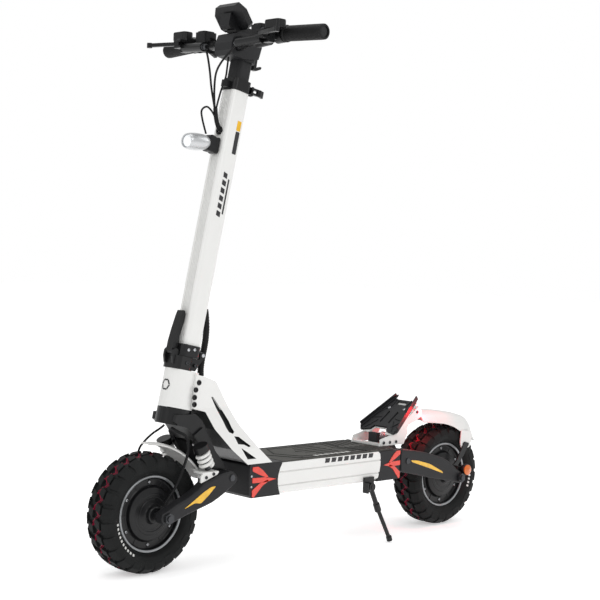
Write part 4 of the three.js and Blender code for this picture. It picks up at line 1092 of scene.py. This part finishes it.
def make_footrest():
    under = [
        (1, -46), (1, -26), (-18, -20), (-18, 20), (1, 26), (1, 46), (-8, 61), (-126, 36), (-126, -36),
        (-8, -61)]
    prism("footrest_under_plate", rounded(under, 4), -3.6, -0.4, on_footrest, "white", "chassis", bevel=0.6)

    def one(side, word):
        bm = bmesh.new()
        rail = [(-4, 56), (-14, 63), (-132, 36), (-138, 31), (-124, 29.5), (-22, 53)]
        add_prism(bm, rounded([(a, side * b) for a, b in rail], 2), 4, 8, on_footrest)
        lip = [(-14, 63.4), (-134, 36), (-134, 33), (-14, 60.2)]
        add_prism(bm, [(a, side * b) for a, b in lip], 4, 14, on_footrest)
        for start, end in (((-20, 34), (-46, 52)), ((-46, 52), (-52, 24)), ((-8, 44), (-40, 26)),
                           ((-62, 46), (-98, 22)), ((-98, 22), (-122, 24))):
            points = [(a, side * b) for a, b in (start, end)]
            add_strip(bm, points, 2.4, 4.8, 6.6, on_footrest)
        piece("footrest_rail_" + word, bm, "graphite", "chassis", bevel=0.7)
        spots = [on_footrest(-88, side * 25, 5)]
        direction = on_footrest(0, 0, 1) - on_footrest(0, 0, 0)
        bolts("footrest_bolt_" + word, spots, direction, 4.0, "steel", "chassis", 2.2)
        spots = [Vector((x, side * 48, z)) for x, z in ((-214, 229), (-236, 229), (-258, 229), (-332, 297))]
        bolts("footrest_frame_bolts_" + word, spots, (0, side, 0), 4.0, "dark_steel", "chassis", 2.0)

    both_sides(one)


# ------------------------------------------------------------------ printed marks

def make_marks():
    """Plain blocks and bars where such a machine carries its lettering."""
    def one(side, word):
        face = sorted((side * 87.2, side * 88.5))
        bm = bmesh.new()
        for k in range(8):
            x = 24 - 20.5 * k
            outline = [(x, 206), (x - 14, 206), (x - 17, 216), (x - 3, 216)]
            add_prism(bm, outline, *face, side_view)
        piece("deck_marks_" + word, bm, "ink", "chassis")
        face = sorted((side * 22.4, side * 23.35))
        bm = bmesh.new()
        for k in range(6):
            s = 640 + 17 * k
            add_prism(bm, [(-3, s), (8, s + 3), (8, s + 14), (-3, s + 11)], *face, column_side)
        add_prism(bm, [(-11, 648), (-7, 649), (-7, 726), (-11, 725)], *face, column_side)
        piece("stem_marks_" + word, bm, "ink", "stem")
        prism("stem_label_" + word, rounded([(-14, 834), (-3, 834), (-3, 856), (-14, 856)], 2), *face,
              column_side, "yellow_reflector", "stem")
        prism("stem_label_bar_" + word, rounded([(-14, 782), (-3, 782), (-3, 832), (-14, 832)], 2), *face,
              column_side, "ink", "stem")

    both_sides(one)
    bm = bmesh.new()
    outer, inner = 13, 9.4
    for k in range(6):
        first, second = (math.radians(60 * (k + shift)) for shift in (0.06, 0.94))
        rings = []
        for out in (37.05, 37.6):
            ring = []
            for size, angle in ((inner, first), (outer, first), (outer, second), (inner, second)):
                across, rise = size * math.cos(angle), size * math.sin(angle)
                turn = across / 37
                ring.append(bm.verts.new(column(out * math.cos(turn), out * math.sin(turn), 266 + rise)))
            rings.append(ring)
        fill_ring(bm, rings)
    piece("head_badge", bm, "ink", "chassis")


# ------------------------------------------------------------------ brake and pod fittings

def make_control_fittings():
    def one(side, word):
        bm = bmesh.new()
        lid = rounded([(268, 132), (294, 132), (294, 176), (268, 176)], 8)
        add_prism(bm, [(x, side * y) for x, y in lid], 1165.8, 1168.6, plan_view)
        piece("reservoir_lid_" + word, bm, "black_plastic", "bar", bevel=1.2)
        spots = [Vector((281, side * y, 1168.6)) for y in (138, 170)]
        bolts("reservoir_screws_" + word, spots, (0, 0, 1), 2.2, "steel", "bar", 1.2)
        bolts("hose_nut_" + word, [Vector((303, side * 140, 1147.2))], (0, 0, 1), 4.6, "dark_steel",
              "bar", 2.4)
        bm = bmesh.new()
        nut = [(2.5, -9), (5.6, -9), (7.2, -6), (7.2, 0), (8.6, 1), (8.6, 5), (2.5, 5)]
        add_turned(bm, nut, Vector((299, side * 57, 1126)), (0.04, side, 0.02), 6)
        piece("hose_fitting_" + word, bm, "dark_steel", "bar", smooth=20)
        bm = bmesh.new()
        pod = rounded([(248, 80), (280, 80), (280, 106), (248, 106)], 7)
        add_prism(bm, [(x, side * y) for x, y in pod], 1163.8, 1167.2, plan_view)
        piece("pod_lid_" + word, bm, "graphite", "bar", bevel=1.4)

    both_sides(one)


# ------------------------------------------------------------------ studio

def add_lamp(name, kind, power, place):
    data = bpy.data.lights.new(name, kind)
    data.energy = power
    lamp = bpy.data.objects.new(name, data)
    scene.collection.objects.link(lamp)
    lamp.location = place
    return lamp


def make_studio():
    scene.view_settings.view_transform = "Standard"
    bpy.ops.mesh.primitive_plane_add(size=30, location=(0, 0, 0))
    floor = bpy.context.object
    floor.name = "floor"
    surface("floor_paint", (0.93, 0.93, 0.93), 0.85, mottle=0.004, cloud=0.6, grain=30, relief=0.0005)
    floor.data.materials.append(MATERIALS["floor_paint"])
    glow = MATERIALS["floor_paint"].node_tree.nodes["Principled BSDF"]
    glow.inputs["Emission Color"].default_value = (1, 1, 1, 1)
    glow.inputs["Emission Strength"].default_value = 0.42
    world = bpy.data.worlds.new("studio")
    scene.world = world
    world.use_nodes = True
    tree = world.node_tree
    background = tree.nodes["Background"]
    sight = add_node(tree, "LightPath")
    strength = add_node(tree, "MapRange")
    strength.inputs["To Min"].default_value = 0.7
    strength.inputs["To Max"].default_value = 1.0
    tree.links.new(sight.outputs["Is Camera Ray"], strength.inputs["Value"])
    tree.links.new(strength.outputs["Result"], background.inputs["Strength"])
    background.inputs["Color"].default_value = (1, 1, 1, 1)
    for name, place, size, power in (
            ("key", (1.0, 3.0, 2.6), 1.8, 26), ("front", (3.2, 0.4, 1.9), 1.4, 10),
            ("rear", (-2.4, 1.2, 2.4), 1.6, 14), ("top", (0.0, -0.4, 3.4), 2.2, 22)):
        lamp = add_lamp(name, "AREA", power, place)
        lamp.data.size = size
        lamp.rotation_euler = (Vector((0, 0, 0.5)) - lamp.location).to_track_quat("-Z", "Y").to_euler()
    low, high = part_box("tail_light")
    lamp = add_lamp("tail_lamp", "POINT", 0.6, ((low.x + high.x) / 2 - 0.035, 0.055, high.z + 0.012))
    lamp.data.color = (1.0, 0.02, 0.03)
    lamp.data.shadow_soft_size = 0.01


def make_camera():
    yaw, pitch, roll = (math.radians(angle) for angle in (226.42, -2.27, 1.98))
    view = Vector((math.cos(pitch) * math.cos(yaw), math.cos(pitch) * math.sin(yaw), math.sin(pitch)))
    right = view.cross(Vector((0, 0, 1))).normalized()
    up = right.cross(view)
    tilted_right = right * math.cos(roll) + up * math.sin(roll)
    tilted_up = up * math.cos(roll) - right * math.sin(roll)
    data = bpy.data.cameras.new("camera")
    data.lens = 82.74
    camera = bpy.data.objects.new("camera", data)
    scene.collection.objects.link(camera)
    turn = Matrix((tilted_right, tilted_up, -view)).transposed().to_4x4()
    camera.matrix_world = Matrix.Translation((2.2294, 2.3049, 0.6994)) @ turn
    scene.camera = camera


make_camera()
make_studio()
dress_cad_nodes()
for wheel_name, wheel_centre in (("front", FRONT_WHEEL), ("rear", REAR_WHEEL)):
    make_tyre(wheel_name, wheel_centre)
    make_hub(wheel_name, wheel_centre)
make_brake("front", FRONT_WHEEL, math.radians(140))
make_brake("rear", REAR_WHEEL, math.radians(40))
make_arms()
make_springs()
make_cables()
make_stem()
make_headlight()
make_deck_detail()
make_cap_reflectors()
make_neck_detail()
make_console_detail()
make_grips()
make_rear_fittings()
make_neck_shade_sheets()
make_front_mudguard()
make_rear_mudguard()
make_footrest()
make_marks()
make_control_fittings()
